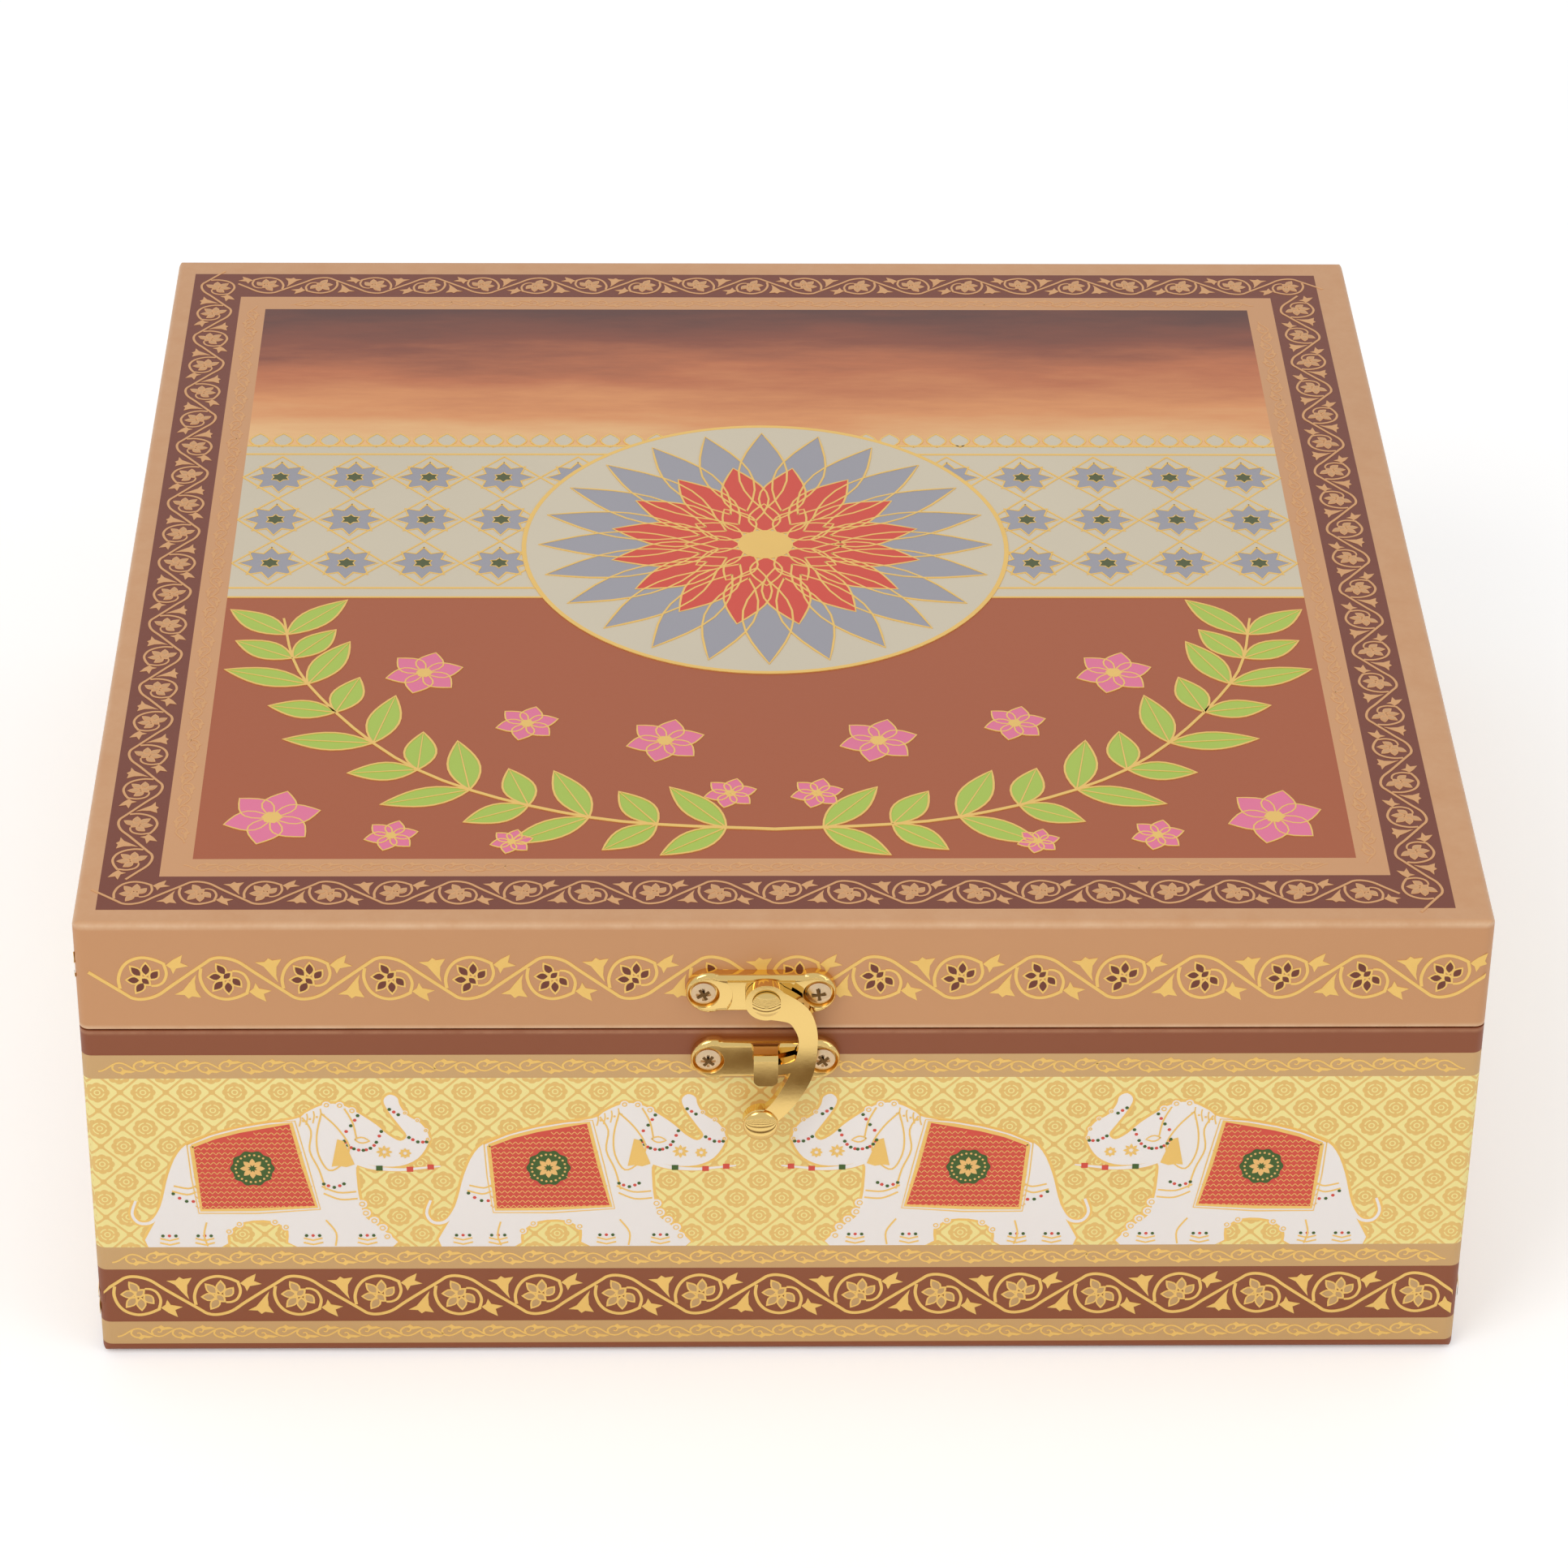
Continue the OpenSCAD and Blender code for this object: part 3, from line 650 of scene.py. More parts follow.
vine = {    # one flower with its loop of stem, drawn about the flower's middle
    "stem": [(-3.66, 3.08), (-1.97, 4.29), (0.0, 4.5), (2.54, 3.65), (5.35, 1.39)],
    "stemStart": (-9.58, -1.39), "stemEnd": (8.2, -0.9),
    "loop": [(-4.1, 2.2), (-4.3, 0.1), (-3.6, -2.2), (-2.2, -3.8), (0.0, -4.55), (2.2, -4.1), (4.1, -3.1)],
    "curl": [(3.9, -3.2), (4.3, -1.1), (3.7, 0.7), (2.6, 1.5), (1.5, 1.6)],
    "leaf": [(4.3, -2.9), (5.1, -2.2), (5.5, -1.0), (6.1, -2.2), (8.3, -2.7), (6.9, -3.4), (7.3, -5.1),
             (5.6, -4.1)],
    "bell": [(9.6, -0.9), (8.3, 0.9), (7.1, 2.6), (5.6, 3.5), (7.3, 3.6), (8.0, 4.4), (8.7, 3.9),
             (10.3, 4.2), (9.4, 2.5), (9.3, 0.6)],
    "petals": (((0.4, 0.5), (-1.5, 3.4)), ((-0.1, 0.4), (-3.2, 0.3)), ((0.0, -0.2), (-2.3, -2.9)),
               ((0.6, -0.3), (0.7, -3.7)), ((1.2, 0.4), (3.1, -2.0))),
    "petalWidth": 2.0, "petalInner": 0.68,
    "heart": ((-0.5, -0.4), (1.5, 1.6), 1.9), "innerHeart": ((-0.1, 0.0), (1.1, 1.2), 1.1),
    "line": 0.6, "stemLine": 0.62,
}
scroll = {    # a wave with a curl and a flame at each half turn
    "rise": 0.95, "steps": 12, "line": 0.32, "curlLine": 0.4,
    "curl": [(-1.1, -0.5), (-1.3, 0.3), (-0.7, 1.0), (0.1, 1.2), (0.6, 0.7), (0.3, 0.1), (-0.2, 0.2)],
    "flame": [(-0.4, 1.15), (0.5, 1.75), (1.1, 1.25), (2.0, 1.35), (2.9, 0.95), (1.7, 0.75), (0.7, 0.55),
              (0.5, 1.0)],
}


def vineFlower(gold, petals, put, move):
    for base, tip in vine["petals"]:
        outer = petal(base, tip, vine["petalWidth"])
        centre = ((base[0] + tip[0]) / 2, (base[1] + tip[1]) / 2)
        gold.shape(outer, put, move)
        petals.shape(shrunk(outer, centre, vine["petalInner"]), put, move)
    gold.shape(petal(*vine["heart"]), put, move)
    petals.shape(petal(*vine["innerHeart"]), put, move)


def vineRow(gold, petals, put, row):
    scale, flip = row["scale"], row["firstFlip"]
    first = placed(row["start"], row["height"], scale, scale * flip)
    stem = [first(vine["stemStart"])]
    for i in range(row["count"]):
        flip = row["firstFlip"] * (-1) ** i
        move = placed(row["start"] + row["pitch"] * i, row["height"], scale, scale * flip)
        stem += [move(p) for p in vine["stem"]]
        gold.stroke(smooth(vine["loop"], 4), vine["line"] * scale, put, move)
        gold.stroke(smooth(vine["curl"], 4), vine["line"] * scale, put, move, 0.7)
        gold.shape(vine["leaf"], put, move)
        if i < row["count"] - 1:
            gold.shape(vine["bell"], put, move)
        vineFlower(gold, petals, put, move)
    stem.append(move(vine["stemEnd"]))
    gold.stroke(smooth(stem, 4), vine["stemLine"] * scale, put)


def scrollRow(gold, put, row, height):
    start, pitch, scale, steps = row["start"], row["pitch"], row["scale"], scroll["steps"]
    count = int(row["length"] / pitch)
    wave = [(start + pitch * i / steps, height - scroll["rise"] * scale * cos(2 * pi * i / steps))
            for i in range(count * steps + 1)]
    gold.stroke(wave, scroll["line"] * scale, put)
    for i in range(1, 2 * count):
        move = placed(start + pitch * i / 2, height, scale, scale * (-1) ** i)
        gold.stroke(smooth(scroll["curl"], 3), scroll["curlLine"] * scale, put, move, 0.6)
        gold.shape(scroll["flame"], put, move)


vineFoil, petalInk, scrollFoil = [PrintSheet(lifts[name]) for name in ("vine", "petal", "scroll")]
for side in range(4):
    vineRow(vineFoil, petalInk, sideMap(side), basePrint["vine"])
    for height in basePrint["scrollHeights"]:
        scrollRow(scrollFoil, sideMap(side), basePrint["scroll"], height)
vineFoil.build("base_vine_foil", "base", "base_paper", goldFoil)
petalInk.build("base_flower_petals", "base", "base_paper", beigePetal)
scrollFoil.build("base_scroll_foil", "base", "base_paper", goldFoil)

lidPrint = {
    "vine": {"start": -114.9, "pitch": 14.6, "count": 17, "height": 86.2, "scale": 1.0, "firstFlip": -1},
    "middle": (-1.4, -0.9), "frameOuter": 121.6, "frameInner": 111.1, "picture": 105.5,
    "frameFlowers": 20, "frameEnds": 10.5, "frameStart": 6.2, "frameHeight": 116.35, "frameUnit": 14.9,
    "scroll": {"start": -107.0, "length": 214.0, "pitch": 7.4, "scale": 0.95}, "scrollHeight": 108.3,
}
vineFoil, petalInk = PrintSheet(lifts["vine"]), PrintSheet(lifts["petal"])
for side in range(4):
    vineRow(vineFoil, petalInk, sideMap(side), lidPrint["vine"])
vineFoil.build("lid_vine_foil", "lid", "lid_paper", goldFoil)
petalInk.build("lid_flower_petals", "lid", "lid_paper", brownPetal)

print("lid top")

midX, midY = lidPrint["middle"]


def rectangle(left, front, right, back):
    return [(left, front), (right, front), (right, back), (left, back)]


def ringFrame(name, outer, inner, material):
    sheet = PrintSheet(lifts["band"])
    for (ax, ay), (bx, by) in zip(corners, corners[1:] + corners[:1]):
        sheet.shape([(midX + ax * outer, midY + ay * outer), (midX + bx * outer, midY + by * outer),
                     (midX + bx * inner, midY + by * inner), (midX + ax * inner, midY + ay * inner)], onTop)
    sheet.build(name, "lid", "lid_paper", material)


def topEdgeMap(side):    # from a drawing to one side of the frame, its foot towards the picture
    def put(s, t, lift):
        x, y = ((s, -t), (t, s), (-s, t), (-t, -s))[side]
        return onTop(midX + x, midY + y, lift)
    return put


ringFrame("lid_frame_band", lidPrint["frameOuter"], lidPrint["frameInner"], framePaper)
ringFrame("lid_inner_band", lidPrint["frameInner"], lidPrint["picture"], lidBeigePaper)
framePitch = (2 * lidPrint["frameOuter"] - lidPrint["frameEnds"]) / lidPrint["frameFlowers"]
frameVine = {
    "start": -lidPrint["frameOuter"] + lidPrint["frameStart"], "pitch": framePitch,
    "count": lidPrint["frameFlowers"], "height": lidPrint["frameHeight"],
    "scale": framePitch / lidPrint["frameUnit"], "firstFlip": 1,
}
vineFoil, petalInk, scrollFoil = [PrintSheet(lifts[name]) for name in ("vine", "petal", "scroll")]
for side in range(4):
    vineRow(vineFoil, petalInk, topEdgeMap(side), frameVine)
    scrollRow(scrollFoil, topEdgeMap(side), lidPrint["scroll"], lidPrint["scrollHeight"])
vineFoil.build("lid_frame_foil", "lid", "lid_paper", roseFoil)
petalInk.build("lid_frame_petals", "lid", "lid_paper", rosePetal)
scrollFoil.build("lid_scroll_foil", "lid", "lid_paper", roseFoil)

print("lid picture")

skyLook = {
    "foot": 45.0, "reach": 60.0, "stretch": (1.0, 4.5, 1.0), "cloudScale": 14.0, "cloudShare": 0.75,
    "tones": ((0.0, srgb(240, 190, 130)), (0.28, srgb(226, 150, 92)), (0.5, srgb(196, 112, 66)),
              (0.72, srgb(140, 70, 44)), (1.0, srgb(92, 46, 36))),
}


def skyPaper():    # an evening sky that darkens towards the back of the lid
    f = Finish("skyPaper", 0.35)
    stretched = f.node("ShaderNodeMapping", {}, {"Vector": f.place, "Scale": skyLook["stretch"]})
    cloud = f.noise(skyLook["cloudScale"], 6.0, 0.6, stretched)
    height = (f.axis("Y") - skyLook["foot"] * mm) / (skyLook["reach"] * mm)
    f.set("Base Color", f.ramp(height + (cloud - 0.5) * skyLook["cloudShare"], *skyLook["tones"]))
    f.set("Coat Weight", paperLook["coat"])
    f.bump(f.noise(paperLook["grainScale"], 2.0), 0.2, 0.02)
    return f.material


half = lidPrint["picture"]
screen = {
    "low": -14.0, "high": 46.0, "columns": 14, "rows": 3, "border": 4.5,
    "lines": (-14.0, -10.5, 42.5, 46.0), "line": 0.55, "latticeLine": 0.35,
    "niche": (6.2, 3.9, 8), "nicheLine": 0.4, "heart": (2.0, 1.3, 6), "heartLine": 0.25,    # stars
    "crests": 44, "crestLow": 45.5, "crestHigh": 51.0, "crestWidth": 4.0, "crestLine": 0.3,
}
left, right = midX - half, midX + half
ground, sky = PrintSheet(lifts["band"]), PrintSheet(lifts["band"])
ground.shape(rectangle(left, midY - half, right, midY + screen["high"]), onTop)
ground.build("picture_ground", "lid", "lid_paper",
             paper("groundPaper", colours["terracotta"], roughness=0.35, mottle=0.05, smudge=0.08))
sky.shape(rectangle(left, midY + screen["high"], right, midY + half), onTop)
sky.build("picture_sky", "lid", "lid_paper", skyPaper())

creamInk, greyInk, goldLines = PrintSheet(0.04), PrintSheet(0.065), PrintSheet(0.12)
leafInk, pinkInk, darkInk = PrintSheet(0.05), PrintSheet(0.08), PrintSheet(0.09)


def star(x, y, outer, inner, tips):
    result = []
    for k in range(2 * tips):
        radius = inner if k % 2 else outer
        angle = pi * k / tips + pi / 2
        result.append((x + radius * cos(angle), y + radius * sin(angle)))
    return result


creamInk.shape(rectangle(left, midY + screen["low"], right, midY + screen["high"]), onTop)
cellX = 2 * half / screen["columns"]
cellY = (screen["high"] - screen["low"] - 2 * screen["border"]) / screen["rows"]
for row in range(screen["rows"]):
    y = midY + screen["low"] + screen["border"] + cellY * (row + 0.5)
    for column in range(screen["columns"]):
        x = left + cellX * (column + 0.5)
        greyInk.outlined(goldLines, star(x, y, *screen["niche"]), screen["nicheLine"])
        darkInk.outlined(goldLines, star(x, y, *screen["heart"]), screen["heartLine"])
        for corner in (-1, 1):
            foot = (x, y + corner * cellY / 2)
            goldLines.stroke([foot, (x + cellX / 2, y)], screen["latticeLine"], onTop)
            goldLines.stroke([foot, (x - cellX / 2, y)], screen["latticeLine"], onTop)
for level in screen["lines"]:
    goldLines.stroke([(left, midY + level), (right, midY + level)], screen["line"], onTop)
for i in range(screen["crests"]):
    x = left + 2 * half * (i + 0.5) / screen["crests"]
    root, tip = (x, midY + screen["crestLow"]), (x, midY + screen["crestHigh"])
    creamInk.outlined(goldLines, petal(root, tip, screen["crestWidth"], 6, 1.0), screen["crestLine"])

creamTop, goldTop = PrintSheet(0.16), PrintSheet(0.19)
greyTop, redTop, goldCap = PrintSheet(0.22), PrintSheet(0.26), PrintSheet(0.29)
medallion = {
    "x": midX, "y": midY + 6.0, "radius": 48.0, "rim": 0.9, "eye": 5.5, "petalRoot": 0.3, "line": 0.4,
    "rings": (    # radius, petals, petal width as a share of the radius, turn in petals, sheet
        (45.0, 24, 0.22, 0.0, greyTop), (31.0, 16, 0.30, 0.5, redTop), (16.0, 12, 0.40, 0.0, redTop)),
}


def drawMedallion(m):
    creamTop.outlined(goldTop, circle(m["x"], m["y"], m["radius"], 96), m["rim"])
    for radius, count, width, turn, sheet in m["rings"]:
        for k in range(count):
            angle = 2 * pi * (k + turn) / count + pi / 2
            root = (m["x"] + m["petalRoot"] * radius * cos(angle),
                    m["y"] + m["petalRoot"] * radius * sin(angle))
            tip = (m["x"] + radius * cos(angle), m["y"] + radius * sin(angle))
            sheet.outlined(goldCap, petal(root, tip, width * radius, 8), m["line"])
    goldCap.shape(circle(m["x"], m["y"], m["eye"], 30), onTop)


drawMedallion(medallion)

branch = {    # the right-hand branch about the lid's middle; the left-hand one is its mirror image
    "route": [(0.0, -96.0), (34.0, -92.0), (66.0, -76.0), (88.0, -46.0), (94.0, -22.0)],
    "width": 0.9, "lean": 0.85, "longLeaf": 17.0, "shortLeaf": 13.0, "leafWidth": 6.0,
    "leafLine": 0.4, "vein": 0.3, "petalLine": 0.3, "petalShare": 0.72, "eyeShare": 0.22, "turn": 0.25,
    "blossoms": ((20, -66, 7.5), (46, -60, 6.0), (66, -42, 7.5), (8, -84, 5.0), (92, -92, 9.0),
                 (70, -98, 5.0), (48, -100, 4.0)),    # place and size
}


def drawLeaf(root, angle, reach):
    tipX = root[0] + reach * cos(angle)
    tipY = root[1] + reach * sin(angle)
    tip = (max(left + 1, min(right - 1, tipX)), max(midY - half + 1, tipY))
    leafInk.outlined(goldLines, petal(root, tip, branch["leafWidth"], 9), branch["leafLine"])
    goldLines.stroke([root, tip], branch["vein"], onTop, taper=0.5)


def drawBlossom(x, y, size):
    width, radius = size * branch["petalShare"], size * branch["eyeShare"]
    for angle in [2 * pi * (k + branch["turn"]) / 6 for k in range(6)]:
        tip = (x + size * cos(angle), y + size * sin(angle))
        pinkInk.outlined(goldLines, petal((x, y), tip, width, 7), branch["petalLine"])
    eye = [(x + radius * cos(angle), y + radius * sin(angle)) for angle in range(6)]    # a radian apart
    goldLines.shape(eye, onTop)


for flip in (-1, 1):
    route = smooth([(midX + flip * x, midY + y) for x, y in branch["route"]], 6)
    goldLines.stroke(route, branch["width"], onTop, taper=0.5)
    for k in range(2, len(route) - 1, 2):
        along = atan2(route[k + 1][1] - route[k][1], route[k + 1][0] - route[k][0])
        reach = branch["longLeaf"] if k % 4 else branch["shortLeaf"]
        drawLeaf(route[k], along - branch["lean"], reach)
        drawLeaf(route[k], along + branch["lean"], reach)
    for x, y, size in branch["blossoms"]:
        drawBlossom(midX + flip * x, midY + y, size)

creamInk.build("picture_screen", "lid", "lid_paper", ink("creamPaper", "cream", 0.14))
greyInk.build("picture_niches", "lid", "lid_paper", ink("greyPaper", "grey", 0.14))
leafInk.build("picture_leaves", "lid", "lid_paper", ink("leafPaper", "leaf", 0.10))
pinkInk.build("picture_blossoms", "lid", "lid_paper", ink("pinkPaper", "pink", 0.14))
darkInk.build("picture_star_hearts", "lid", "lid_paper", ink("heartPaper", "darkLeaf", 0.14))
goldLines.build("picture_gold_lines", "lid", "lid_paper", goldFoil)
creamTop.build("picture_medallion_outer", "lid", "lid_paper", ink("creamPetal", "cream", 0.10))
greyTop.build("picture_medallion_inner", "lid", "lid_paper", ink("greyPetal", "grey", 0.10))
redTop.build("picture_medallion_heart", "lid", "lid_paper", ink("redPetal", "red", 0.10))
goldTop.build("picture_medallion_lines", "lid", "lid_paper", goldFoil)
goldCap.build("picture_medallion_eye", "lid", "lid_paper", goldFoil)

print("elephants")

elephant = {    # drawn facing right, about the middle of its cloth
    "feet": -18.25,
    "body": [(-10.5, 6.2), (-13.5, 3.5), (-15.5, -1.5), (-16.8, -7.0), (-18.3, -12.0), (-20.0, -18.25),
             (-6.5, -18.25), (-5.2, -15.0), (-2.0, -12.4), (3.0, -12.2), (6.0, -14.5), (7.5, -18.25),
             (25.2, -18.25), (23.5, -14.4), (20.4, -11.5), (19.4, -7.5), (19.0, -3.0), (19.3, 1.0),
             (22.9, 0.4), (27.1, 0.5), (30.3, 2.2), (32.2, 5.4), (32.3, 7.8), (31.0, 10.2),
             (28.6, 12.0), (27.3, 14.3), (26.9, 16.0), (25.5, 16.7), (24.4, 15.4), (25.2, 13.0),
             (27.2, 9.6), (28.4, 7.4), (27.2, 6.2), (25.0, 7.6), (22.9, 9.9), (19.9, 12.4),
             (17.6, 14.0), (15.2, 14.7), (12.6, 14.1), (10.1, 12.6), (8.0, 11.2), (-2.1, 9.2)],
    "tail": [(-15.0, -3.0), (-17.0, -9.0), (-19.0, -12.3), (-21.4, -12.6), (-22.6, -10.5), (-21.8, -7.5)],
    "cloth": [(-10.9, 5.1), (-6.6, 7.1), (-2.1, 8.5), (3.0, 9.6), (7.4, 10.3), (9.3, 0.5),
              (11.4, -8.9), (0.5, -9.5), (-9.8, -9.6), (-10.4, -2.0)],
    "lines": (    # collar, ear, straps, legs and brow
        [(9.5, 11.6), (11.0, 8.5), (10.6, 4.0), (12.2, -0.5), (13.2, -5.0)],
        [(13.0, 12.5), (15.8, 9.2), (17.8, 5.0), (16.6, 1.2), (14.0, -0.5), (12.2, 3.0), (12.0, 7.5),
         (13.0, 12.5)],
        [(12.5, -4.2), (15.5, -5.6), (18.8, -5.4)], [(12.8, -5.8), (15.8, -7.2), (19.0, -7.0)],
        [(-14.6, -4.0), (-12.0, -4.6), (-10.6, -4.0)], [(-15.0, -5.2), (-12.3, -6.0), (-10.6, -5.4)],
        [(-9.0, -12.5), (-9.6, -15.5), (-9.0, -18.0)], [(13.0, -12.0), (14.8, -15.0), (14.6, -18.0)],
        [(17.2, 13.6), (18.6, 10.5), (19.2, 7.0)]),
    "flowers": ((24.2, 3.7, 1.5), (28.0, 3.4, 1.15)),    # place and size
    "eye": ((18.9, 6.6), (21.6, 6.2), 1.3),
    "strings": (    # route and count of beads
        ([(17.0, 6.2), (18.2, 4.7), (20.4, 4.1), (22.4, 5.2), (23.8, 8.4)], 13),
        ([(-14.8, -5.8), (-12.9, -7.4), (-11.2, -7.6)], 4), ([(12.9, -3.6), (14.8, -4.4), (16.6, -3.6)], 5),
        ([(25.4, 13.4), (27.0, 12.2)], 3), ([(28.8, 7.0), (30.4, 6.0), (32.0, 6.0)], 5),
        ([(19.6, 12.0), (18.6, 10.2), (17.4, 8.4)], 4)),
    "tassel": [(15.7, 6.6), (16.9, 6.2), (18.7, 0.9), (17.2, 0.3), (15.7, 0.6), (14.5, 0.4)],
    "rings": (    # place and size of the round jewels on the legs, belly, brow and trunk
        (19.8, -8.3, 0.95), (20.4, -10.4, 0.95), (21.9, -12.2, 0.95), (23.4, -13.9, 0.95),
        (5.6, -13.6, 0.8), (3.6, -12.4, 0.8), (-3.0, -12.9, 0.8), (-5.0, -14.6, 0.8), (24.2, -15.9, 0.9),
        (14.0, 14.4, 0.8), (16.4, 14.3, 0.8), (18.6, 13.1, 0.8), (32.2, 6.6, 0.5), (31.9, 8.6, 0.5),
        (30.4, 10.9, 0.5), (28.2, 12.6, 0.5)),
    "collar": {"bars": 4, "pitch": 1.25, "foot": (8.9, 9.6), "dot": (0.75, 1.2, 0.26)},
    "anklets": (-16.0, -9.5, 10.5, 20.5),
    "bead": 0.36, "ankletBead": 0.34, "ankletBeads": (-1.2, 0.0, 1.2), "ankletBeadHeight": -15.6,
    "garland": [(18.6, 1.5), (22.0, 0.1), (27.0, -0.4), (31.0, 0.0), (34.4, 0.4)],
}
goldSheet, whiteSheet, redSheet = PrintSheet(0.03), PrintSheet(0.06), PrintSheet(0.09)
greenSheet, lineSheet, medalSheet = PrintSheet(0.12), PrintSheet(0.12), PrintSheet(0.15)
pen = {"rim": 0.22, "clothEdge": 0.7, "line": 0.32, "eye": 0.26, "ring": 0.2, "anklet": 0.3, "stitch": 0.16}


def aboveFeet(outline):
    return [(x, max(z, elephant["feet"])) for x, z in outline]


def drawBody(put, move):
    body = aboveFeet(smooth(elephant["body"], 3, True))
    tail = smooth(elephant["tail"], 4)
    goldSheet.shape(aboveFeet(grown(body, 0.55)), put, move)
    goldSheet.stroke(tail, 1.5, put, move)
    whiteSheet.shape(body, put, move)
    whiteSheet.stroke(tail, 0.8, put, move, 0.6)


stitches = {    # rows of small chevrons on the cloth, kept clear of its slanting edges and its medallion
    "rows": 17, "columns": 20, "low": -8.9, "left": -10.3, "pitchX": 1.08, "pitchZ": 1.12,
    "rightEdge": 9.4, "rightSlope": 0.205, "topEdge": 7.843, "topSlope": 0.27, "clear": 4.3,
}


medal = {    # the round medallion in the middle of the cloth
    "radius": 3.9, "wave": 0.05, "waves": 10, "points": 60,
    "petals": 8, "petalRoot": 0.5, "petalTip": 2.3, "petalWidth": 1.05,
    "beads": 22, "beadRing": 3.1, "bead": 0.24,
}


def drawMedal(put, move):
    edge = []
    for x, z in circle(0.0, 0.0, medal["radius"], medal["points"]):
        swell = 1 + medal["wave"] * cos(medal["waves"] * atan2(z, x))
        edge.append((x * swell, z * swell))
    greenSheet.shape(edge, put, move)
    roots = circle(0.0, 0.0, medal["petalRoot"], medal["petals"])
    tips = circle(0.0, 0.0, medal["petalTip"], medal["petals"])
    for root, tip in zip(roots, tips):
        medalSheet.shape(petal(root, tip, medal["petalWidth"]), put, move)
    for x, z in circle(0.0, 0.0, medal["beadRing"], medal["beads"]):
        medalSheet.shape(circle(x, z, medal["bead"], 5), put, move)


def drawStitches(put, move):
    s = stitches
    for row in range(s["rows"]):
        z = s["low"] + s["pitchZ"] * row
        for column in range(s["columns"]):
            x = s["left"] + s["pitchX"] * (column + (0.5 if row % 2 else 0.0))
            pastRight = x > s["rightEdge"] - s["rightSlope"] * z
            pastTop = z > s["topEdge"] + s["topSlope"] * x
            if pastRight or pastTop or hypot(x, z) < s["clear"]:
                continue
            medalSheet.stroke([(x - 0.5, z + 0.3), (x, z - 0.25), (x + 0.5, z + 0.3)], pen["stitch"],
                              put, move)


def drawCloth(put, move):
    cloth = elephant["cloth"]
    rim = grown(cloth, 0.9)
    lineSheet.stroke(cloth + cloth[:1], pen["clothEdge"], put, move)
    lineSheet.stroke(rim + rim[:1], pen["rim"], put, move)
    redSheet.shape(cloth, put, move)
    drawMedal(put, move)
    drawStitches(put, move)


def drawHead(put, move):
    for line in elephant["lines"]:
        lineSheet.stroke(smooth(line, 4), pen["line"], put, move)
    for x, z, size in elephant["flowers"]:
        for root, tip in zip(circle(x, z, 0.3, 8), circle(x, z, size, 8)):
            lineSheet.shape(petal(root, tip, 0.6), put, move)
    eye = petal(*elephant["eye"])
    lineSheet.stroke(eye + eye[:1], pen["eye"], put, move)


def drawBead(k, x, z, radius, put, move):    # red and green by turns
    sheet = redSheet if k % 2 else greenSheet
    sheet.shape(circle(x, z, radius, 6), put, move)


def drawCollar(put, move):    # bars that lean and lengthen towards the head, with dots between them
    collar = elephant["collar"]
    footX, footZ = collar["foot"]
    dotX, dotZ, dotRadius = collar["dot"]
    for k in range(collar["bars"]):
        x = footX + collar["pitch"] * k
        bar = [(x, footZ + 0.35 * k), (x + 0.3, footZ + 1.4 + 0.45 * k), (x + 0.2, footZ + 2.3 + 0.55 * k)]
        lineSheet.stroke(smooth(bar, 3), pen["eye"], put, move)
        lineSheet.shape(circle(x + dotX, footZ + dotZ + 0.45 * k, dotRadius, 5), put, move)


def drawJewels(put, move):
    for route, count in elephant["strings"]:
        curve = smooth(route, 8)
        for k in range(count):
            spot = curve[int(k * (len(curve) - 1) / (count - 1))]
            drawBead(k, *spot, elephant["bead"], put, move)
    lineSheet.shape(elephant["tassel"], put, move)
    drawCollar(put, move)
    for x, z, size in elephant["rings"]:
        ring = circle(x, z, size, 10)
        goldSheet.shape(grown(ring, 0.35), put, move)
        whiteSheet.shape(ring, put, move)
        lineSheet.stroke(shrunk(ring + ring[:1], (x, z), 0.5), pen["ring"], put, move)


def drawAnklets(put, move):
    for x in elephant["anklets"]:
        for reach, z in ((1.7, -16.2), (1.8, -17.2)):
            lineSheet.stroke([(x - reach, z), (x, z - 0.5), (x + reach, z)], pen["anklet"], put, move)
        for k, shift in enumerate(elephant["ankletBeads"]):
            drawBead(k, x + shift, elephant["ankletBeadHeight"], elephant["ankletBead"], put, move)


def drawGarland(put, move):
    garland = smooth(elephant["garland"], 5)
    goldSheet.stroke(garland, 1.5, put, move, 0.3)
    whiteSheet.stroke(garland, 1.0, put, move, 0.3)
    for x, z, sheet in ((23.2, 0.0, greenSheet), (28.8, -0.3, redSheet), (32.6, 0.2, redSheet)):
        sheet.stroke([(x - 0.6, z), (x + 0.6, z)], 1.1, put, move)


for side in range(4):
    for x, facing in basePrint["elephants"]:
        for draw in (drawBody, drawCloth, drawHead, drawJewels, drawAnklets, drawGarland):
            draw(sideMap(side), placed(x, basePrint["elephantHeight"], facing))
goldSheet.build("elephant_gold_edges", "base", "base_paper", goldFoil)
whiteSheet.build("elephant_bodies", "base", "base_paper", ink("whiteInk", "white", 0.03, 0.04))
redSheet.build("elephant_cloths", "base", "base_paper", ink("redInk", "red", 0.06))
greenSheet.build("elephant_medallions", "base", "base_paper", ink("greenInk", "green", 0.06))
lineSheet.build("elephant_gold_lines", "base", "base_paper", goldFoil)
medalSheet.build("elephant_cloth_foil", "base", "base_paper", foil("clothFoil", colours["clothGold"]))

print("screw slots")

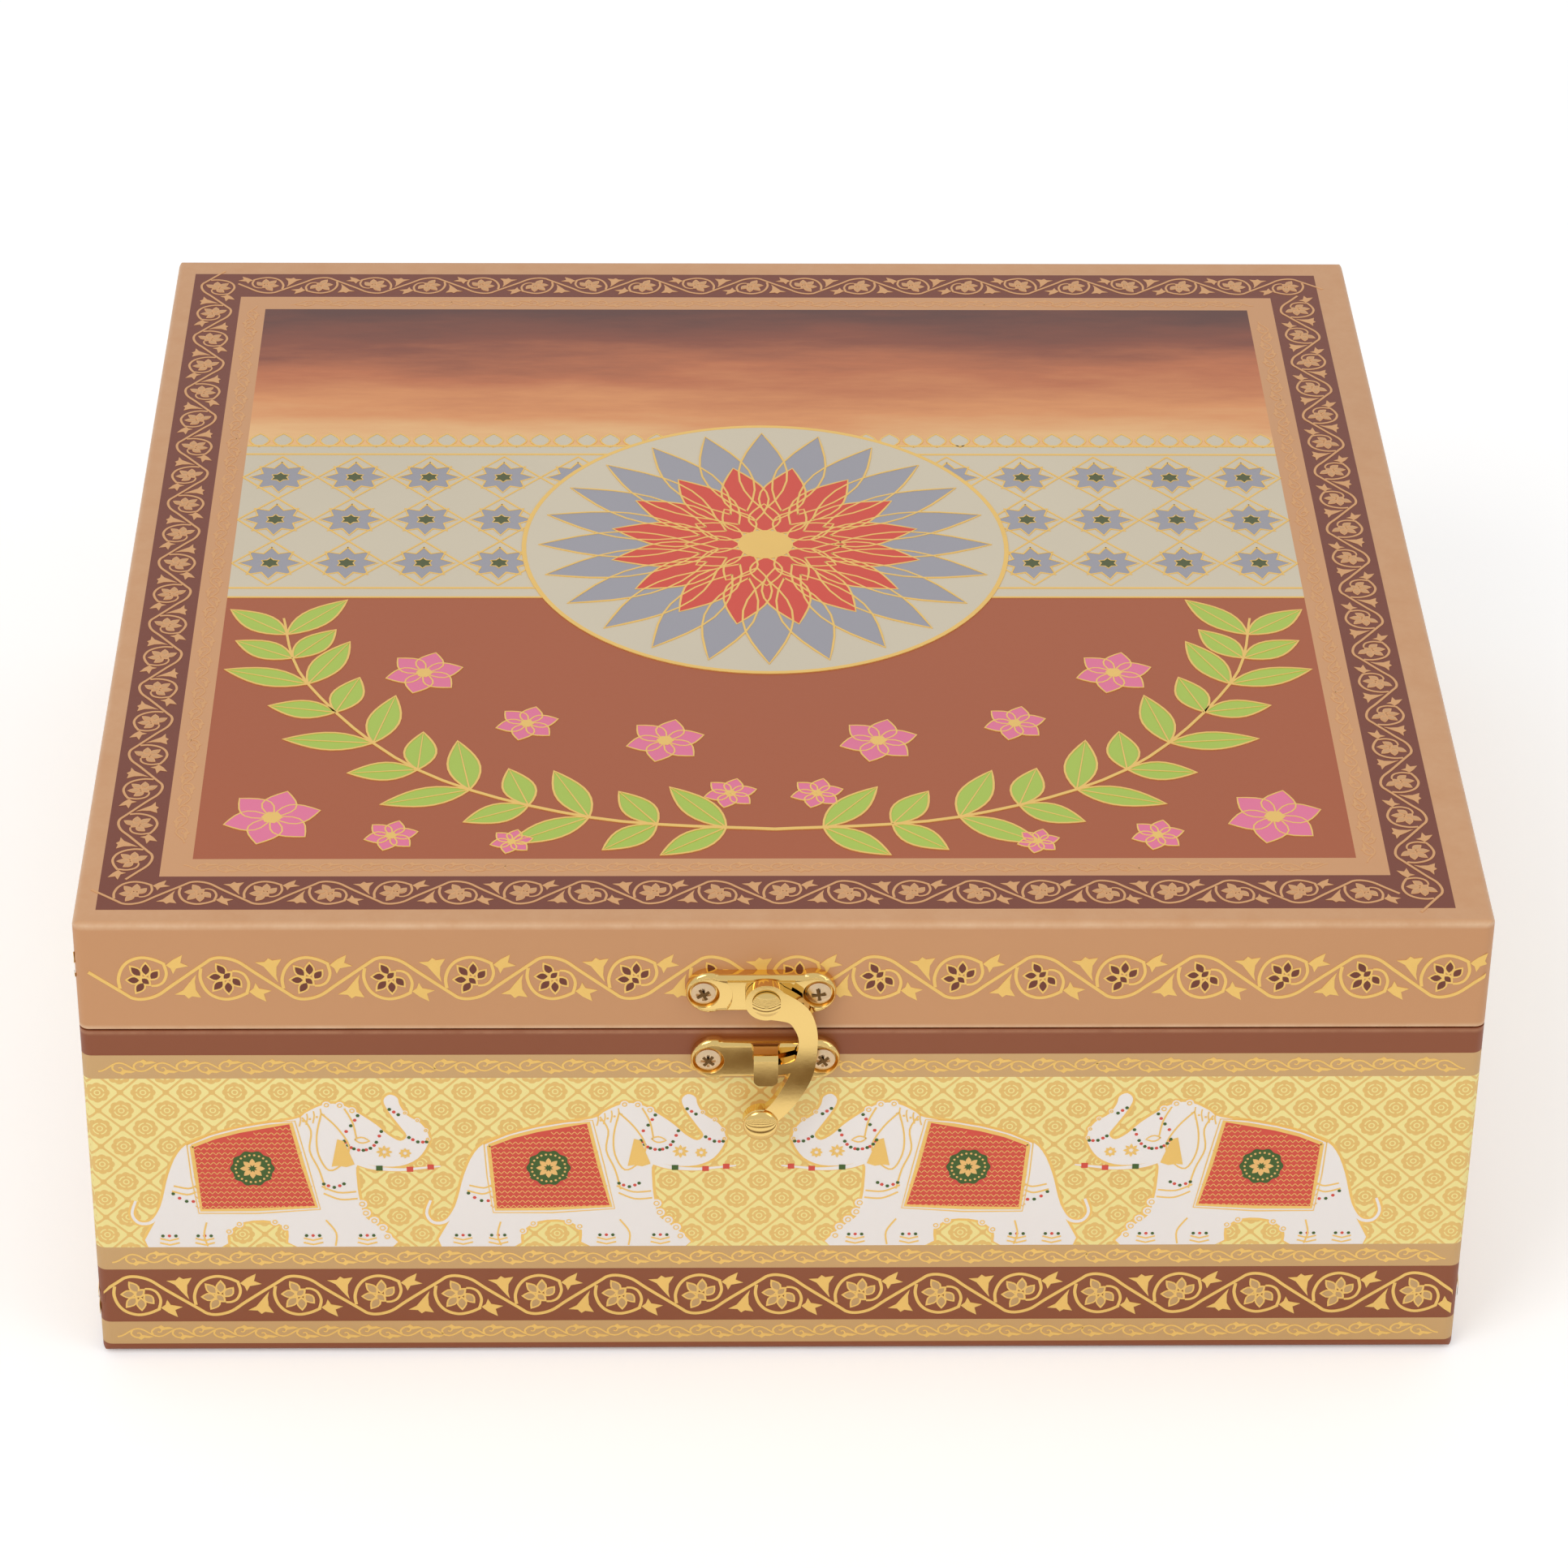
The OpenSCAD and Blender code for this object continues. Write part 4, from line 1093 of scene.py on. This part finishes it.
slotLook = {"halfLength": 1.25, "width": 0.52, "above": 0.01, "below": 0.2}
screwSlots = {    # place and turn in degrees of each cross
    "latch_screw_slots": {"body": "lid", "screws": "latch_screws",
                          "crosses": ((-14.7, 84.05, 30), (6.0, 84.05, 12))},
    "catch_screw_slots": {"body": "base", "screws": "catch_screws",
                          "crosses": ((-13.7, 69.3, 50), (7.0, 69.3, 35))},
}
# The crosses are dark sheets laid on the screw heads: painted shade standing in for the recesses.
slotPaintedShade = gilt("slotShade", colours["slotShade"], 0.45)
for name, plate in screwSlots.items():
    depth = -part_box(plate["screws"])[0].y / mm - box["half"]
    slots = PrintSheet(depth + slotLook["above"], depth - slotLook["below"])
    for x, z, turn in plate["crosses"]:
        for angle in (radians(turn), radians(turn + 90)):
            dx, dz = slotLook["halfLength"] * cos(angle), slotLook["halfLength"] * sin(angle)
            slots.stroke([(x - dx, z - dz), (x, z), (x + dx, z + dz)], slotLook["width"], sideMap(0))
    slots.build(name, plate["body"], "gilt_screw", slotPaintedShade)

print("floor and light")

studio = {
    "floor": 6.0, "floorGlow": 0.26, "world": 0.70,    # metres, and shares of white
    "key": {"place": (-1.0, -1.1, 1.5), "size": (1.0, 1.0), "power": 9.0},
    "fill": {"place": (1.3, -0.9, 1.2), "size": (0.8, 1.2), "power": 3.0},
    "target": (0, 0, 0.05),
}
bpy.ops.mesh.primitive_plane_add(size=studio["floor"], location=(0, 0, 0))
floor = bpy.context.object
floor.name = "floor"
floorFinish = Finish("floorFinish", 0.9)
cameraRays = floorFinish.node("ShaderNodeLightPath", {}, {}, "Is Camera Ray")
floorFinish.set("Base Color", (0.93, 0.93, 0.93))
floorFinish.set("Specular IOR Level", 0.0)
floorFinish.set("Emission Color", (1.0, 1.0, 1.0))
floorFinish.set("Emission Strength", cameraRays * studio["floorGlow"])
floor.data.materials.append(floorFinish.material)
floor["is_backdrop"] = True

# A card with soft bands lies in front of the box. Only the polished metal sees it.
mirrorCard = {"place": (0, -0.52, 0.001), "size": (1.2, 0.72), "bands": 118.0,
              "dark": (0.16, 0.10, 0.05), "light": (1.0, 0.97, 0.92), "ground": (0.02, 0.015, 0.01)}
bpy.ops.mesh.primitive_plane_add(size=1.0, location=mirrorCard["place"])
card = bpy.context.object
card.name = "mirrorCard"
card.scale = (*mirrorCard["size"], 1.0)
card.visible_camera = False
card.visible_diffuse = False
card.visible_shadow = False
cardShade = Finish("cardShade", 0.9)
wave = cardShade.math("SINE", cardShade.axis("Y") * mirrorCard["bands"])
bands = cardShade.ramp(wave * 0.5 + 0.5, (0.05, mirrorCard["dark"]), (0.5, mirrorCard["light"]))
cardShade.set("Base Color", mirrorCard["ground"])
cardShade.set("Emission Color", bands)
cardShade.set("Emission Strength", 1.0)
card.data.materials.append(cardShade.material)
card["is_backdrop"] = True

world = bpy.data.worlds.new("studio")
bpy.context.scene.world = world
world.use_nodes = True
background = world.node_tree.nodes["Background"]
background.inputs["Color"].default_value = (1, 1, 1, 1)
background.inputs["Strength"].default_value = studio["world"]


def softLamp(name, settings):
    data = bpy.data.lights.new(name, "AREA")
    data.shape = "RECTANGLE"
    data.size, data.size_y = settings["size"]
    data.energy = settings["power"]
    lamp = bpy.data.objects.new(name, data)
    bpy.context.scene.collection.objects.link(lamp)
    spot = Vector(settings["place"])
    away = (spot - Vector(studio["target"])).normalized()
    lamp.matrix_world = Matrix.Translation(spot) @ away.to_track_quat("Z", "Y").to_matrix().to_4x4()


softLamp("keyLamp", studio["key"])
softLamp("fillLamp", studio["fill"])

bpy.context.scene.view_settings.view_transform = "Standard"

shownBox = [list(corner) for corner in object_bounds()]
({"cad": [[float(v) for v in c] for c in cadBox],
           "shown": [[float(v) for v in c] for c in shownBox]})
